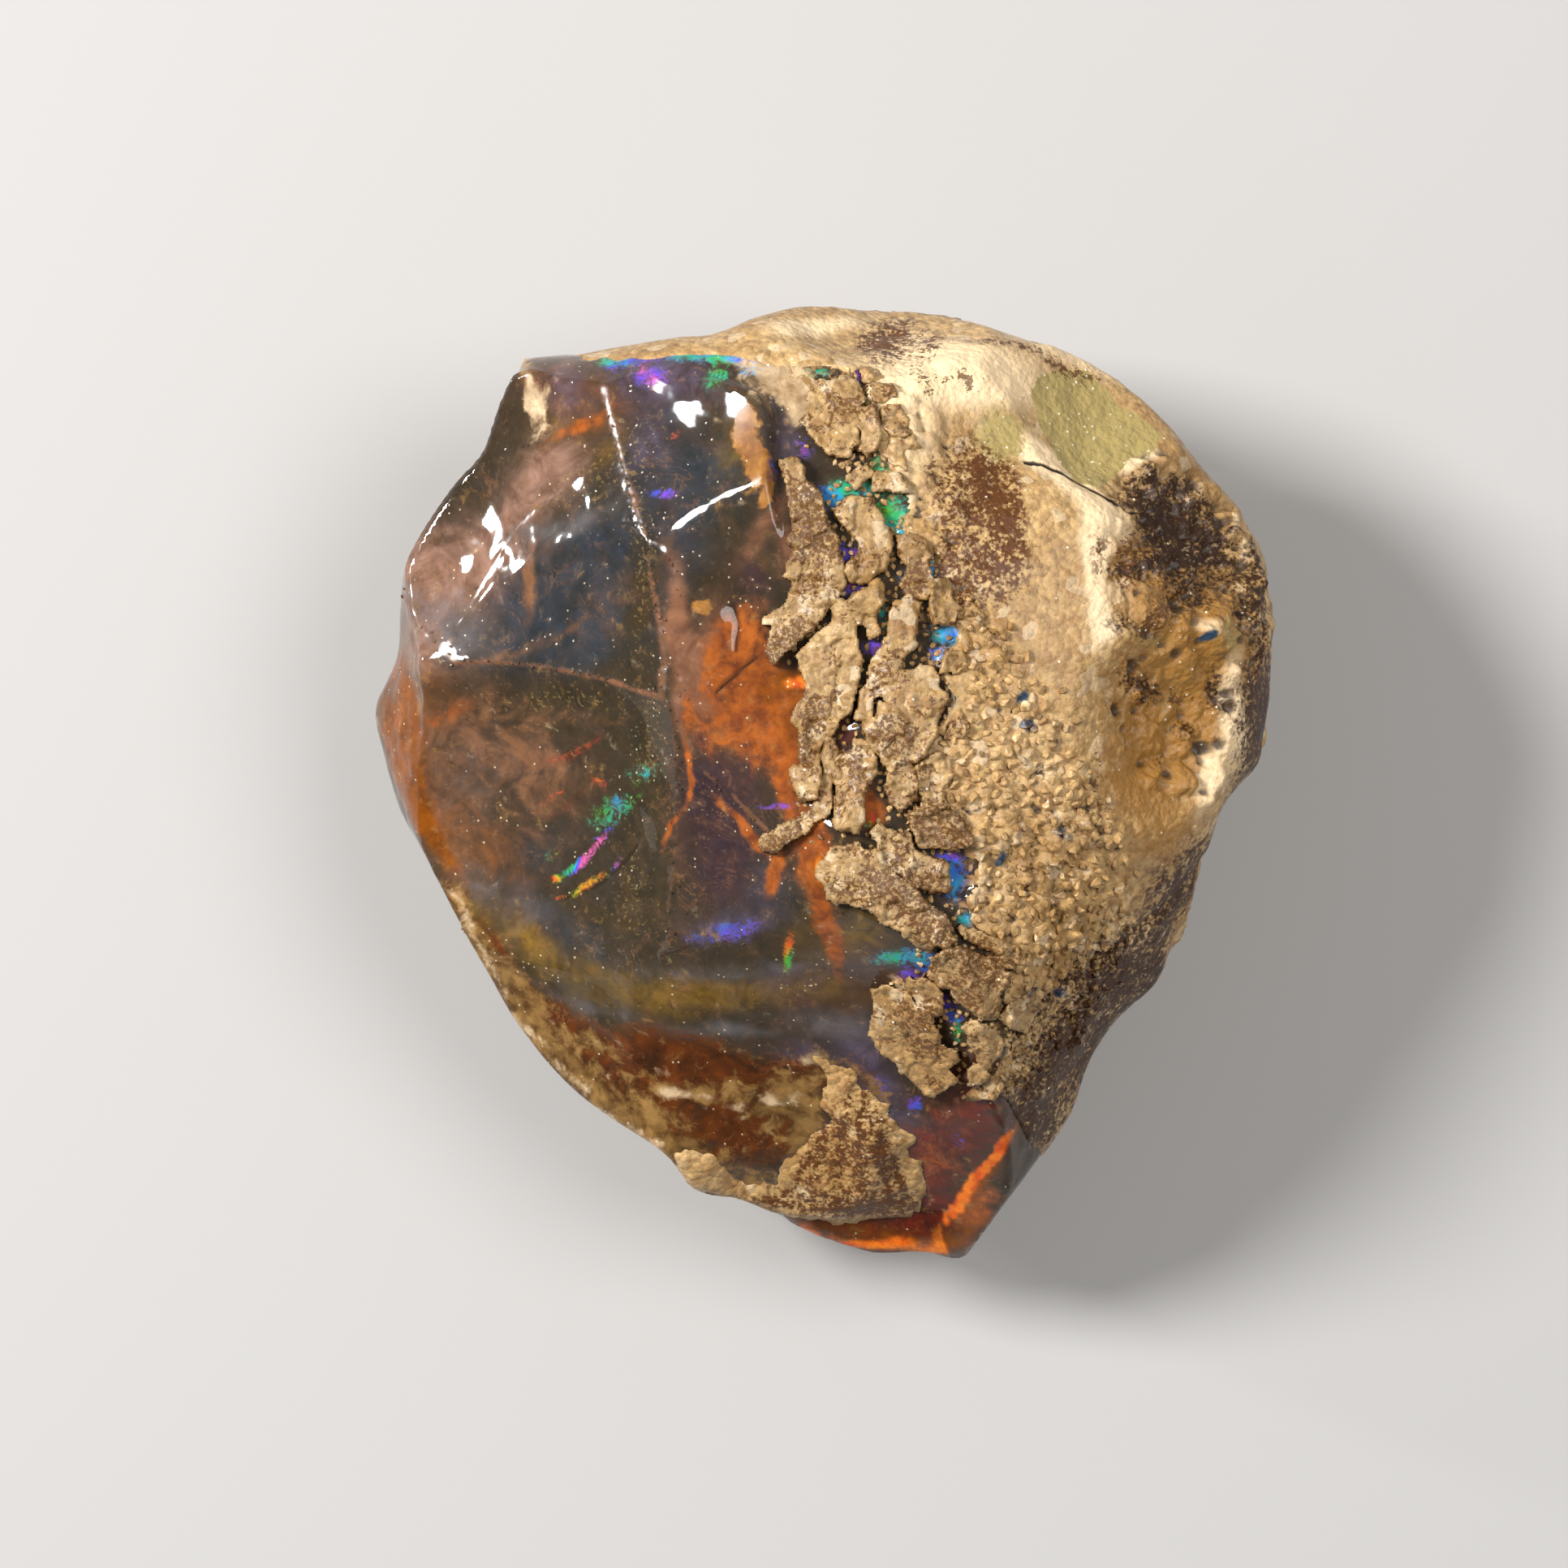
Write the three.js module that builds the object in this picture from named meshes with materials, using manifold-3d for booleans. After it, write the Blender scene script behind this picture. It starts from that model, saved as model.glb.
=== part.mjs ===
// A piece of rough opal, broken out of a rock nodule: clear amber opal on the left and bottom,
// the tan host rock it grew in on the right, grown together as one stone. Millimetres, +Z up.
// The stone lies on its worn underside with its broken face up. The origin is the middle of
// its box on the surface that it rests on, +Y is the top of the broken face and +X is the
// rock's side.
import * as THREE from 'three';
import { mergeVertices } from 'three/addons/utils/BufferGeometryUtils.js';
import Module from 'manifold-3d';

// Driving dimensions.
const stoneHeight = 30;        // from the resting face to the highest point of the rock
const sinkBelowRest = 0.8;     // how much of the round underside is worn off flat
const skinDetail = 13;         // subdivisions of the icosahedron that the skin starts from
const sideSwell = 0.85;        // below 1 the widest part is a broad band, not a sharp rim
const crownSwell = 0.7;        // below 1 the top and the underside are flatter than a ball
const notchReach = 0.7;        // share of the height over which the outline's notches fade out
const notchWidth = 36;         // degrees of outline that are averaged where they have faded
const ballSlices = 44;         // facets round each ball that a hollow is scooped with

// The outline seen from above, clockwise from the knob at the top left.
const outline = [
  [-17.5, 25.9], [-13.9, 26.2], [-9.8, 26.8], [-6.3, 27.2], [-3.3, 28.5], [1.2, 29.2],
  [6.2, 28.8], [9.2, 28.2], [12.2, 27.2], [15.0, 26.4], [19.7, 23.7], [23.2, 19.7],
  [26.2, 16.2], [27.6, 13.2], [28.2, 6.1], [27.6, 1.7], [25.7, -0.3], [24.1, -2.3],
  [23.4, -6.1], [21.7, -11.4], [19.1, -14.1], [17.0, -16.8], [15.6, -20.5], [13.0, -24.0],
  [10.3, -27.7], [8.9, -29.4], [6.4, -29.0], [3.5, -29.1], [-0.3, -27.8], [-4.4, -25.7],
  [-7.5, -25.1], [-9.5, -22.6], [-14.8, -19.0], [-18.3, -14.9], [-20.3, -11.4], [-21.9, -8.4],
  [-23.8, -4.8], [-25.9, -1.5], [-27.2, 1.7], [-28.2, 4.8], [-25.9, 7.5], [-25.6, 10.7],
  [-25.0, 13.7], [-22.3, 17.9], [-20.2, 20.1], [-19.2, 22.6], [-18.0, 25.5],
];

// Height of the widest line all the way round, as bearing in degrees and height.
const belt = [
  [0, 13], [45, 15], [90, 16], [130, 17], [160, 15.5], [180, 14],
  [225, 11.5], [285, 11], [325, 12], [360, 13],
];

// Corners where the broken faces of the opal meet: x, y and height.
const corner = {
  ridgeTop: [-12.4, 21.8, 24.2],
  ridgeHigh: [-9.4, 13.4, 27.7],
  ridgeLedge: [-8.8, 4.9, 27.2],
  ridgeFoot: [-9.7, -11.0, 23.4],
  ledgeEnd: [-21.8, 7.6, 20.2],
  finTop: [-15.4, 17.6, 23.0],
  finEdge: [-24.4, 14.0, 16.9],
  finPeak: [-18.6, 21.5, 20.7],
  dishFoot: [-20.0, -9.5, 17.0],
  crownPlate: [-3.0, 19.5, 28.3],
  crestLow: [-8.4, 11.2, 27.5],
  crestHigh: [-1.8, 17.2, 29.3],
  plumPlate: [-0.4, -3.5, 28.5],
  bandPlate: [4.2, -13.5, 24.0],
  bandFoot: [-9.0, -20.5, 17.2],
  bandEnd: [8.0, -19.0, 21.4],
  noseTip: [8.6, -28.6, 11.5],
  noseLeft: [-4.4, -24.6, 13.5],
};

// Opal breaks like glass, in shallow shells. Each broken face is part of a ball that passes
// through three corners: their names and the ball's radius.
const brokenFaces = [
  ['ridgeLedge', 'ledgeEnd', 'ridgeFoot', 31],   // the big dish
  ['ledgeEnd', 'ridgeHigh', 'ridgeLedge', 34],   // the slate-coloured window
  ['finTop', 'ledgeEnd', 'finEdge', 60],         // the rose-coloured fin on the left edge
  ['finPeak', 'finTop', 'ridgeTop', 70],         // the face under the knob
  ['ridgeTop', 'ridgeHigh', 'crownPlate', 50],   // the hollow at the top of the opal
  ['crestLow', 'ridgeLedge', 'crestHigh', 45],     // the orange slope beside the crust
  ['ridgeLedge', 'ridgeFoot', 'plumPlate', 34],
  ['ridgeFoot', 'bandFoot', 'bandPlate', 40],    // the olive band at the bottom
  ['dishFoot', 'bandFoot', 'ridgeFoot', 60],
  ['bandEnd', 'noseLeft', 'noseTip', 60],        // the slope down to the lowest tip
];

// Weathered hollows: deepest point, bearing and tilt from straight up of the way that the
// hollow opens, in degrees, and the radius of its ball.
const hollows = [
  [-26.0, 2.0, 13.5, 182, 60, 40],    // edge that the light comes through
  [19.0, -12.0, 17.5, 318, 58, 40],   // flank under the groove
  [22.5, 15.0, 20.9, 30, 38, 10],     // dark pitted hollow
  [20.8, 2.7, 23.9, 5, 28, 9],        // glossy pitted hollow
  [16.5, 21.5, 21.0, 55, 38, 12],     // olive glassy patch
  [11.0, 20.8, 25.4, 70, 22, 8],      // small olive patch
  [4.6, 27.4, 19.6, 88, 55, 11],      // dent in the top rim
  [7.0, 25.0, 6.0, 82, 118, 34],      // back of the underside
  [25.0, 5.0, 6.0, 8, 120, 30],       // right of the underside
  [-16.0, -15.5, 3.6, 222, 130, 30],  // front left of the underside
];

const degree = Math.PI / 180;

// The outline as bearings and distances from the origin, in rising order of bearing.
const rimPoints = new THREE.CatmullRomCurve3(
  outline.map(([x, y]) => new THREE.Vector3(x, y, 0)),
  true,
  'centripetal',
)
  .getPoints(outline.length * 4)
  .map((p) => ({ bearing: Math.atan2(p.y, p.x), reach: Math.hypot(p.x, p.y) }))
  .sort((a, b) => a.bearing - b.bearing);

function rimReach(bearing) {
  const turn = Math.atan2(Math.sin(bearing), Math.cos(bearing));
  const last = rimPoints.length - 1;
  const next = rimPoints.findIndex((p) => p.bearing >= turn);
  if (next <= 0) return rimPoints[next === 0 ? 0 : last].reach;
  const a = rimPoints[next - 1];
  const b = rimPoints[next];
  const share = (turn - a.bearing) / Math.max(b.bearing - a.bearing, 1e-9);
  return a.reach + share * (b.reach - a.reach);
}

// The outline with its notches smoothed away, which is the stone's shape well above and below
// its widest line.
function calmReach(bearing) {
  const samples = 9;
  let sum = 0;
  for (let i = 0; i < samples; i += 1) {
    sum += rimReach(bearing + (i / (samples - 1) - 0.5) * notchWidth * degree);
  }
  return sum / samples;
}

function beltHeight(bearing) {
  const turn = ((bearing / degree) % 360 + 360) % 360;
  const next = belt.findIndex(([at]) => at >= turn);
  if (next === 0) return belt[0][1];
  const [fromAt, from] = belt[next - 1];
  const [toAt, to] = belt[next];
  return from + (to - from) * THREE.MathUtils.smoothstep(turn, fromAt, toAt);
}

// The whole nodule before it broke: a ball drawn out to the outline and the height, and worn
// flat where it rests.
function nodule() {
  const skin = new THREE.IcosahedronGeometry(1, skinDetail);
  const place = skin.getAttribute('position');
  for (let i = 0; i < place.count; i += 1) {
    const bearing = Math.atan2(place.getY(i), place.getX(i));
    const across = Math.min(Math.hypot(place.getX(i), place.getY(i)), 1);
    const rise = Math.sqrt(1 - across ** 2) ** crownSwell;
    const calm = THREE.MathUtils.smoothstep(rise, 0, notchReach);
    const rim = THREE.MathUtils.lerp(rimReach(bearing), calmReach(bearing), calm);
    const reach = rim * across ** sideSwell;
    const middle = beltHeight(bearing);
    const up = place.getZ(i) >= 0 ? stoneHeight - middle : -(middle + sinkBelowRest);
    const height = Math.max(middle + up * rise, 0);
    place.setXYZ(i, reach * Math.cos(bearing), reach * Math.sin(bearing), height);
  }
  return skin;
}

// The ball of a given radius through three points, with its middle on the outer side of them.
function ballThrough(first, second, third, radius) {
  const [a, b, c] = [first, second, third].map((p) => new THREE.Vector3(...p));
  const ab = b.clone().sub(a);
  const ac = c.clone().sub(a);
  const normal = ab.clone().cross(ac);
  const toMiddle = normal.clone().cross(ab).multiplyScalar(ac.lengthSq())
    .add(ac.clone().cross(normal).multiplyScalar(ab.lengthSq()))
    .divideScalar(2 * normal.lengthSq());
  const middle = a.clone().add(toMiddle);
  const heart = new THREE.Vector3(0, 0, stoneHeight * 0.4);
  normal.normalize();
  if (normal.dot(middle.clone().sub(heart)) < 0) normal.negate();
  return middle.addScaledVector(normal, Math.sqrt(radius ** 2 - toMiddle.lengthSq()));
}

// The middle of a ball that touches a hollow at its deepest point.
function ballOver(x, y, z, bearing, tilt, radius) {
  const open = new THREE.Vector3().setFromSphericalCoords(radius, tilt * degree, bearing * degree);
  return new THREE.Vector3(x + open.z, y + open.x, z + open.y);
}

const wasm = await Module();
wasm.setup();

function solidOf(geometry) {
  geometry.deleteAttribute('normal');
  geometry.deleteAttribute('uv');
  const merged = mergeVertices(geometry, 1e-5);
  return new wasm.Manifold(new wasm.Mesh({
    numProp: 3,
    vertProperties: Float32Array.from(merged.getAttribute('position').array),
    triVerts: Uint32Array.from(merged.getIndex().array),
  }));
}

function ball(middle, radius) {
  const skin = new THREE.SphereGeometry(radius, ballSlices, ballSlices / 2);
  skin.translate(middle.x, middle.y, middle.z);
  return solidOf(skin);
}

let stone = solidOf(nodule());
for (const [a, b, c, radius] of brokenFaces) {
  stone = stone.subtract(ball(ballThrough(corner[a], corner[b], corner[c], radius), radius));
}
for (const [x, y, z, bearing, tilt, radius] of hollows) {
  stone = stone.subtract(ball(ballOver(x, y, z, bearing, tilt, radius), radius));
}

const cut = stone.getMesh();
const stoneGeometry = new THREE.BufferGeometry();
stoneGeometry.setAttribute('position', new THREE.BufferAttribute(cut.vertProperties, cut.numProp));
stoneGeometry.setIndex(new THREE.BufferAttribute(cut.triVerts, 1));
stoneGeometry.computeVertexNormals();
stoneGeometry.computeBoundingBox();
const middle = stoneGeometry.boundingBox.getCenter(new THREE.Vector3());
stoneGeometry.translate(-middle.x, -middle.y, 0);

const opal = new THREE.MeshStandardMaterial({ color: 0xa8642a, roughness: 0.12, metalness: 0 });
const roughOpal = new THREE.Mesh(stoneGeometry, opal);
roughOpal.name = 'rough_opal';

const part = new THREE.Group();
part.add(roughOpal);

export default part;
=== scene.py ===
import math

import bpy
import numpy as np
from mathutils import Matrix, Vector
from mathutils.bvhtree import BVHTree


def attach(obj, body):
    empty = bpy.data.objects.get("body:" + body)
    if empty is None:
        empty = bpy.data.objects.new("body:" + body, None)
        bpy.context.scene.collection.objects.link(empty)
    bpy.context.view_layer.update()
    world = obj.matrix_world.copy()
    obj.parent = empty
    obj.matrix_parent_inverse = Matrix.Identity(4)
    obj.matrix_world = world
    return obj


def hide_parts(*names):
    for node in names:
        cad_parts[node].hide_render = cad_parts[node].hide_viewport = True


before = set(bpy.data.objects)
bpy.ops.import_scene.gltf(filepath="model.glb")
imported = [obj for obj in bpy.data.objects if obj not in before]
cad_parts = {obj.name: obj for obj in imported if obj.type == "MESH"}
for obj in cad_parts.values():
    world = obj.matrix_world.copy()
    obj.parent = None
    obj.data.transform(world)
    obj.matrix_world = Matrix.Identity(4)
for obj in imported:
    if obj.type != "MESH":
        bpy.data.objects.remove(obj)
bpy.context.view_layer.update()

# The opal. Precious hydrophane opal that filled a hollow in the nodule: clear, amber to
# orange-brown, with a milky blue haze. It broke like glass, in shallow shells with sharp ridges,
# and is wet-looking. Sizes are millimetres until a mesh is finished.
MM = 0.001
PIXEL = 0.05  # millimetres of the stone that one pixel of the photograph covers
MIDDLE_PIXEL = (1006, 964)  # the pixel over the middle of the stone's box

STONE_HEIGHT = 30.0  # from the resting face to the highest point of the rock
WORN_FLAT = 0.8  # how much of the round underside is worn off flat
SIDE_SWELL = 0.85  # below 1 the widest part is a broad band, not a sharp rim
CROWN_SWELL = 0.7  # below 1 the top and the underside are flatter than a ball
NOTCH_REACH = 0.7  # share of the height over which the outline's notches fade out
NOTCH_WIDTH = math.radians(36)  # how much of the outline is averaged where they have faded
HEART = np.array((-2.0, 1.0, 12.0))  # every part of the stone's skin can be seen from here

# The outline seen from above, clockwise from the knob at the top left.
OUTLINE = np.array([
    (-17.5, 25.9), (-13.9, 26.2), (-9.8, 26.8), (-6.3, 27.2), (-3.3, 28.5), (1.2, 29.2),
    (6.2, 28.8), (9.2, 28.2), (12.2, 27.2), (15.0, 26.4), (19.7, 23.7), (23.2, 19.7),
    (26.2, 16.2), (27.6, 13.2), (28.2, 6.1), (27.6, 1.7), (25.7, -0.3), (24.1, -2.3),
    (23.4, -6.1), (21.7, -11.4), (19.1, -14.1), (17.0, -16.8), (15.6, -20.5), (13.0, -24.0),
    (10.3, -27.7), (8.9, -29.4), (6.4, -29.0), (3.5, -29.1), (-0.3, -27.8), (-4.4, -25.7),
    (-7.5, -25.1), (-9.5, -22.6), (-14.8, -19.0), (-18.3, -14.9), (-20.3, -11.4), (-21.9, -8.4),
    (-23.8, -4.8), (-25.9, -1.5), (-27.2, 1.7), (-28.2, 4.8), (-25.9, 7.5), (-25.6, 10.7),
    (-25.0, 13.7), (-22.3, 17.9), (-20.2, 20.1), (-19.2, 22.6), (-18.0, 25.5),
])
# How high the widest line is all the way round: bearing in degrees and height.
BELT = [
    (0, 13), (45, 15), (90, 16), (130, 17), (160, 15.5), (180, 14),
    (225, 11.5), (285, 11), (325, 12), (360, 13),
]
# Corners where the broken faces of the opal meet.
CORNER = {
    "ridge_top": (-12.4, 21.8, 24.2),
    "ridge_high": (-9.4, 13.4, 27.7),
    "ridge_ledge": (-8.8, 4.9, 27.2),
    "ridge_foot": (-9.7, -11.0, 23.4),
    "ledge_end": (-21.8, 7.6, 20.2),
    "fin_top": (-15.4, 17.6, 23.0),
    "fin_edge": (-24.4, 14.0, 16.9),
    "fin_peak": (-18.6, 21.5, 20.7),
    "dish_foot": (-20.0, -9.5, 17.0),
    "crown_plate": (-3.0, 19.5, 28.3),
    "crest_low": (-8.4, 11.2, 27.5),
    "crest_high": (-1.8, 17.2, 29.3),
    "plum_plate": (-0.4, -3.5, 28.5),
    "band_plate": (4.2, -13.5, 24.0),
    "band_foot": (-9.0, -20.5, 17.2),
    "band_end": (8.0, -19.0, 21.4),
    "nose_tip": (8.6, -28.6, 11.5),
    "nose_left": (-4.4, -24.6, 13.5),
    "facet_top": (-9.7, 15.2, 27.25),
    "facet_foot": (-8.8, 5.7, 26.9),
    "facet_right": (-6.5, 6.7, 27.85),
}
# Each broken face is part of a ball: three corners that it passes through, and its radius.
BROKEN_FACES = {
    "dish": ("ridge_ledge", "ledge_end", "ridge_foot", 31),
    "window": ("ledge_end", "ridge_high", "ridge_ledge", 34),
    "fin": ("fin_top", "ledge_end", "fin_edge", 60),
    "under_knob": ("fin_peak", "fin_top", "ridge_top", 70),
    "crown": ("ridge_top", "ridge_high", "crown_plate", 50),
    "orange": ("crest_low", "ridge_ledge", "crest_high", 45),
    "plum": ("ridge_ledge", "ridge_foot", "plum_plate", 34),
    "band": ("ridge_foot", "band_foot", "band_plate", 40),
    "band_left": ("dish_foot", "band_foot", "ridge_foot", 60),
    "nose": ("band_end", "nose_left", "nose_tip", 60),
    "facet": ("facet_top", "facet_foot", "facet_right", 120),
}
# Ridges that are rounded and look wet, and over how many millimetres; the others are sharp.
ROUNDED_RIDGES = [
    ("crown", "orange", 2.2), ("orange", "plum", 0.9), ("plum", "band", 1.6), ("band", "nose", 3.0),
    ("band_left", "band", 2.6), ("fin", "under_knob", 1.4), ("band_left", "dish", 2.0),
    ("fin", "window", 1.2), ("under_knob", "window", 1.2), ("facet", "orange", 0.4),
]
# Ridges that are chipped to a thin rough line, and how strongly.
CHIPPED_RIDGES = [
    ("under_knob", "crown", 0.9), ("window", "crown", 0.9), ("window", "orange", 0.9),
    ("window", "facet", 0.9), ("under_knob", "facet", 0.9), ("dish", "facet", 0.9),
    ("dish", "orange", 0.8), ("dish", "plum", 0.5), ("facet", "orange", 0.5),
    ("facet", "crown", 0.5), ("window", "dish", 1.0), ("fin", "dish", 0.7),
]
# Weathered hollows: deepest point, bearing and tilt from straight up of the way that the
# hollow opens, in degrees, and the radius of its ball.
HOLLOWS = {
    "left_edge": (-26.0, 2.0, 13.5, 182, 60, 40),
    "flank": (19.0, -12.0, 17.5, 318, 58, 40),
    "pit_high": (22.5, 15.0, 20.9, 30, 38, 10),
    "pit_low": (20.8, 2.7, 23.9, 5, 28, 9),
    "olive_big": (16.5, 21.5, 21.0, 55, 38, 12),
    "olive_small": (11.0, 20.8, 25.4, 70, 22, 8),
    "top_dent": (4.6, 27.4, 19.6, 88, 55, 11),
    "back_below": (7.0, 25.0, 6.0, 82, 118, 34),
    "right_below": (25.0, 5.0, 6.0, 8, 120, 30),
    "front_below": (-16.0, -15.5, 3.6, 222, 130, 30),
}
# Where the opal shows on the face, as pixels of the photograph: from the knob along the crust
# and under its loose plates, then round the edge. The crust island at the bottom is cut out.
OPAL_PIXELS = [
    (700, 442), (735, 453), (780, 453), (830, 449), (880, 446), (905, 449), (930, 457), (960, 464),
    (1005, 462), (1030, 466), (1052, 470), (1066, 462), (1068, 500), (1074, 512), (1080, 535),
    (1076, 560), (1090, 580), (1110, 600), (1118, 630), (1108, 660), (1118, 672), (1144, 690),
    (1146, 715), (1140, 745), (1150, 768), (1176, 778), (1176, 798), (1158, 815), (1160, 838),
    (1168, 862), (1160, 890), (1130, 930), (1128, 950), (1130, 985), (1150, 1000), (1190, 1045),
    (1200, 1060), (1200, 1090), (1186, 1105), (1192, 1130), (1212, 1150), (1230, 1175),
    (1238, 1190), (1230, 1225), (1240, 1250), (1232, 1290), (1214, 1320),
    (1180, 1345), (1230, 1340), (1262, 1395), (1300, 1450), (1230, 1640), (1000, 1640),
    (800, 1560), (640, 1400), (500, 1250), (400, 1050), (340, 870), (380, 700), (450, 600),
    (540, 500), (630, 400),
]
ISLAND_PIXELS = [
    (822, 1413), (850, 1408), (882, 1416), (892, 1440), (920, 1452), (963, 1454), (966, 1428),
    (995, 1404), (1018, 1381), (1007, 1351), (1018, 1337), (1004, 1296), (1027, 1311),
    (1052, 1317), (1054, 1328), (1079, 1344), (1098, 1365), (1116, 1388), (1121, 1416),
    (1130, 1438), (1135, 1470), (1120, 1500), (1060, 1518), (1000, 1515), (940, 1498),
    (880, 1478), (842, 1455),
]


def from_pixels(pixels):
    """Millimetres from the middle of the stone, for pixels of the photograph."""
    pixels = np.array(pixels, float)
    return (pixels - MIDDLE_PIXEL) * (PIXEL, -PIXEL)


def smooth(value, low, high):
    """0 at low, 1 at high and a soft ramp between, which may run either way."""
    share = np.clip((value - low) / (high - low), 0, 1)
    return share * share * (3 - 2 * share)


def closed_curve(points, steps):
    """A closed curve through points, with so many steps for each."""
    a, b, c, d = (np.roll(points, shift, axis=0)[:, None] for shift in (1, 0, -1, -2))
    t = np.linspace(0, 1, steps, endpoint=False)[None, :, None]
    curve = b + 0.5 * t * (c - a + t * (2 * a - 5 * b + 4 * c - d + t * (3 * (b - c) + d - a)))
    return curve.reshape(-1, 2)


rim = closed_curve(OUTLINE, 5)
rim_bearing = np.arctan2(rim[:, 1], rim[:, 0])
rim_order = np.argsort(rim_bearing)
rim_bearing = rim_bearing[rim_order]
rim_distance = np.hypot(*rim[rim_order].T)


def rim_reach(bearing):
    """How far the outline is from the middle at a bearing."""
    return np.interp(bearing, rim_bearing, rim_distance, period=2 * math.pi)


def calm_reach(bearing):
    """The same with the outline's notches smoothed away."""
    turns = np.linspace(-0.5, 0.5, 9) * NOTCH_WIDTH
    return np.mean([rim_reach(bearing + turn) for turn in turns], axis=0)


def belt_height(bearing):
    """How high the widest part of the stone is at a bearing."""
    at, height = np.array(BELT, float).T
    degrees = np.degrees(bearing) % 360
    after = np.clip(np.searchsorted(at, degrees), 1, len(at) - 1)
    share = smooth(degrees, at[after - 1], at[after])
    return height[after - 1] + share * (height[after] - height[after - 1])


def nodule(ball):
    """The whole nodule before it broke: points of a unit ball drawn out to the outline."""
    x, y, z = ball.T
    bearing = np.arctan2(y, x)
    across = np.clip(np.hypot(x, y), 0, 1)
    rise = np.sqrt(1 - across**2) ** CROWN_SWELL
    calm = smooth(rise, 0, NOTCH_REACH)
    reach = (rim_reach(bearing) * (1 - calm) + calm_reach(bearing) * calm) * across**SIDE_SWELL
    middle = belt_height(bearing)
    up = np.where(z >= 0, STONE_HEIGHT - middle, -(middle + WORN_FLAT))
    height = np.maximum(middle + up * rise, 0)
    return np.column_stack((reach * np.cos(bearing), reach * np.sin(bearing), height))


def ball_through(a, b, c, radius):
    """The middle of a ball of this radius through three points, on their outer side."""
    a, b, c = np.array(a), np.array(b), np.array(c)
    normal = np.cross(b - a, c - a)
    to_middle = np.cross(normal, b - a) * (c - a).dot(c - a)
    to_middle = to_middle + np.cross(c - a, normal) * (b - a).dot(b - a)
    to_middle = to_middle / (2 * normal.dot(normal))
    middle = a + to_middle
    normal = normal / np.linalg.norm(normal)
    if normal.dot(middle - HEART) < 0:
        normal = -normal
    return middle + normal * math.sqrt(radius**2 - to_middle.dot(to_middle))


def ball_over(x, y, z, bearing, tilt, radius):
    """The middle of a ball that touches a hollow at its deepest point, and opens that way."""
    bearing, tilt = math.radians(bearing), math.radians(tilt)
    way = (math.sin(tilt) * math.cos(bearing), math.sin(tilt) * math.sin(bearing), math.cos(tilt))
    return np.array((x, y, z)) + radius * np.array(way)


def distance_to_ball(ways, middle, radius):
    """How far along each way out of the heart a ball begins, or a long way if it is missed."""
    to = middle - HEART
    along = ways @ to
    inside = along**2 - (to.dot(to) - radius**2)
    hit = (inside > 0) & (along > 0)
    return np.where(hit, along - np.sqrt(np.maximum(inside, 0)), 1e3)


def to_side(points, a, b):
    """How far each point is from the straight side between two corners."""
    side = b - a
    share = np.clip(((points - a) @ side) / side.dot(side), 0, 1)
    return np.linalg.norm(points - a - share[:, None] * side, axis=1)


def near_line(points, line):
    """How far each point is from an open line."""
    return np.min([to_side(points, a, b) for a, b in zip(line[:-1], line[1:])], axis=0)


def within(points, outline):
    """How far each point is inside an outline: above 0 inside, below 0 outside."""
    nearest = np.full(len(points), 1e9)
    inside = np.zeros(len(points), bool)
    for a, b in zip(outline, np.roll(outline, -1, axis=0)):
        nearest = np.minimum(nearest, to_side(points, a, b))
        if a[1] != b[1]:
            crossed = (a[1] > points[:, 1]) != (b[1] > points[:, 1])
            edge = a[0] + (points[:, 1] - a[1]) * (b[0] - a[0]) / (b[1] - a[1])
            inside ^= crossed & (points[:, 0] < edge)
    return np.where(inside, 1, -1) * nearest


def cell_value(cell, seed):
    """A number from 0 to 1 for each whole-number place, always the same one."""
    mixed = (cell[..., 0] * 73856093) ^ (cell[..., 1] * 19349663) ^ (cell[..., 2] * 83492791)
    mixed = (mixed ^ (seed * 2654435761)) & 0x7FFFFFFF
    mixed = ((mixed ^ (mixed >> 15)) * 2246822519) & 0x7FFFFFFF
    mixed = ((mixed ^ (mixed >> 13)) * 3266489917) & 0x7FFFFFFF
    return (mixed ^ (mixed >> 16)) / 0x7FFFFFFF


def lumps(points, size, seed, octaves=1):
    """Smooth noise from -1 to 1 with lumps of this size, each octave half as wide and high."""
    total, height, sum_heights = 0, 1.0, 0
    for octave in range(octaves):
        place = points / size * 2**octave
        low = np.floor(place).astype(np.int64)
        t = place - low
        t = t * t * t * (t * (6 * t - 15) + 10)
        value = 0
        for corner in np.ndindex(2, 2, 2):
            weight = np.prod(np.where(corner, t, 1 - t), axis=-1)
            value = value + weight * cell_value(low + corner, seed + octave)
        total = total + (2 * value - 1) * height
        sum_heights += height
        height *= 0.5
    return total / sum_heights


def pebbles(points, size, seed):
    """For each point, how far it is from the nearest of a jumble of places, how much farther
    the next one is, both in sizes, and a number for the nearest."""
    place = points / size
    low = np.floor(place).astype(np.int64)
    first = np.full(len(points), 9.0)
    second = np.full(len(points), 9.0)
    number = np.zeros(len(points))
    for step in np.ndindex(3, 3, 3):
        cell = low + np.array(step) - 1
        jitter = np.stack([cell_value(cell, seed + k) for k in range(3)], axis=-1)
        away = np.linalg.norm(cell + 0.15 + 0.7 * jitter - place, axis=-1)
        closer = away < first
        second = np.where(closer, first, np.minimum(second, away))
        number = np.where(closer, cell_value(cell, seed + 7), number)
        first = np.where(closer, away, first)
    return first, second - first, number


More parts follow.
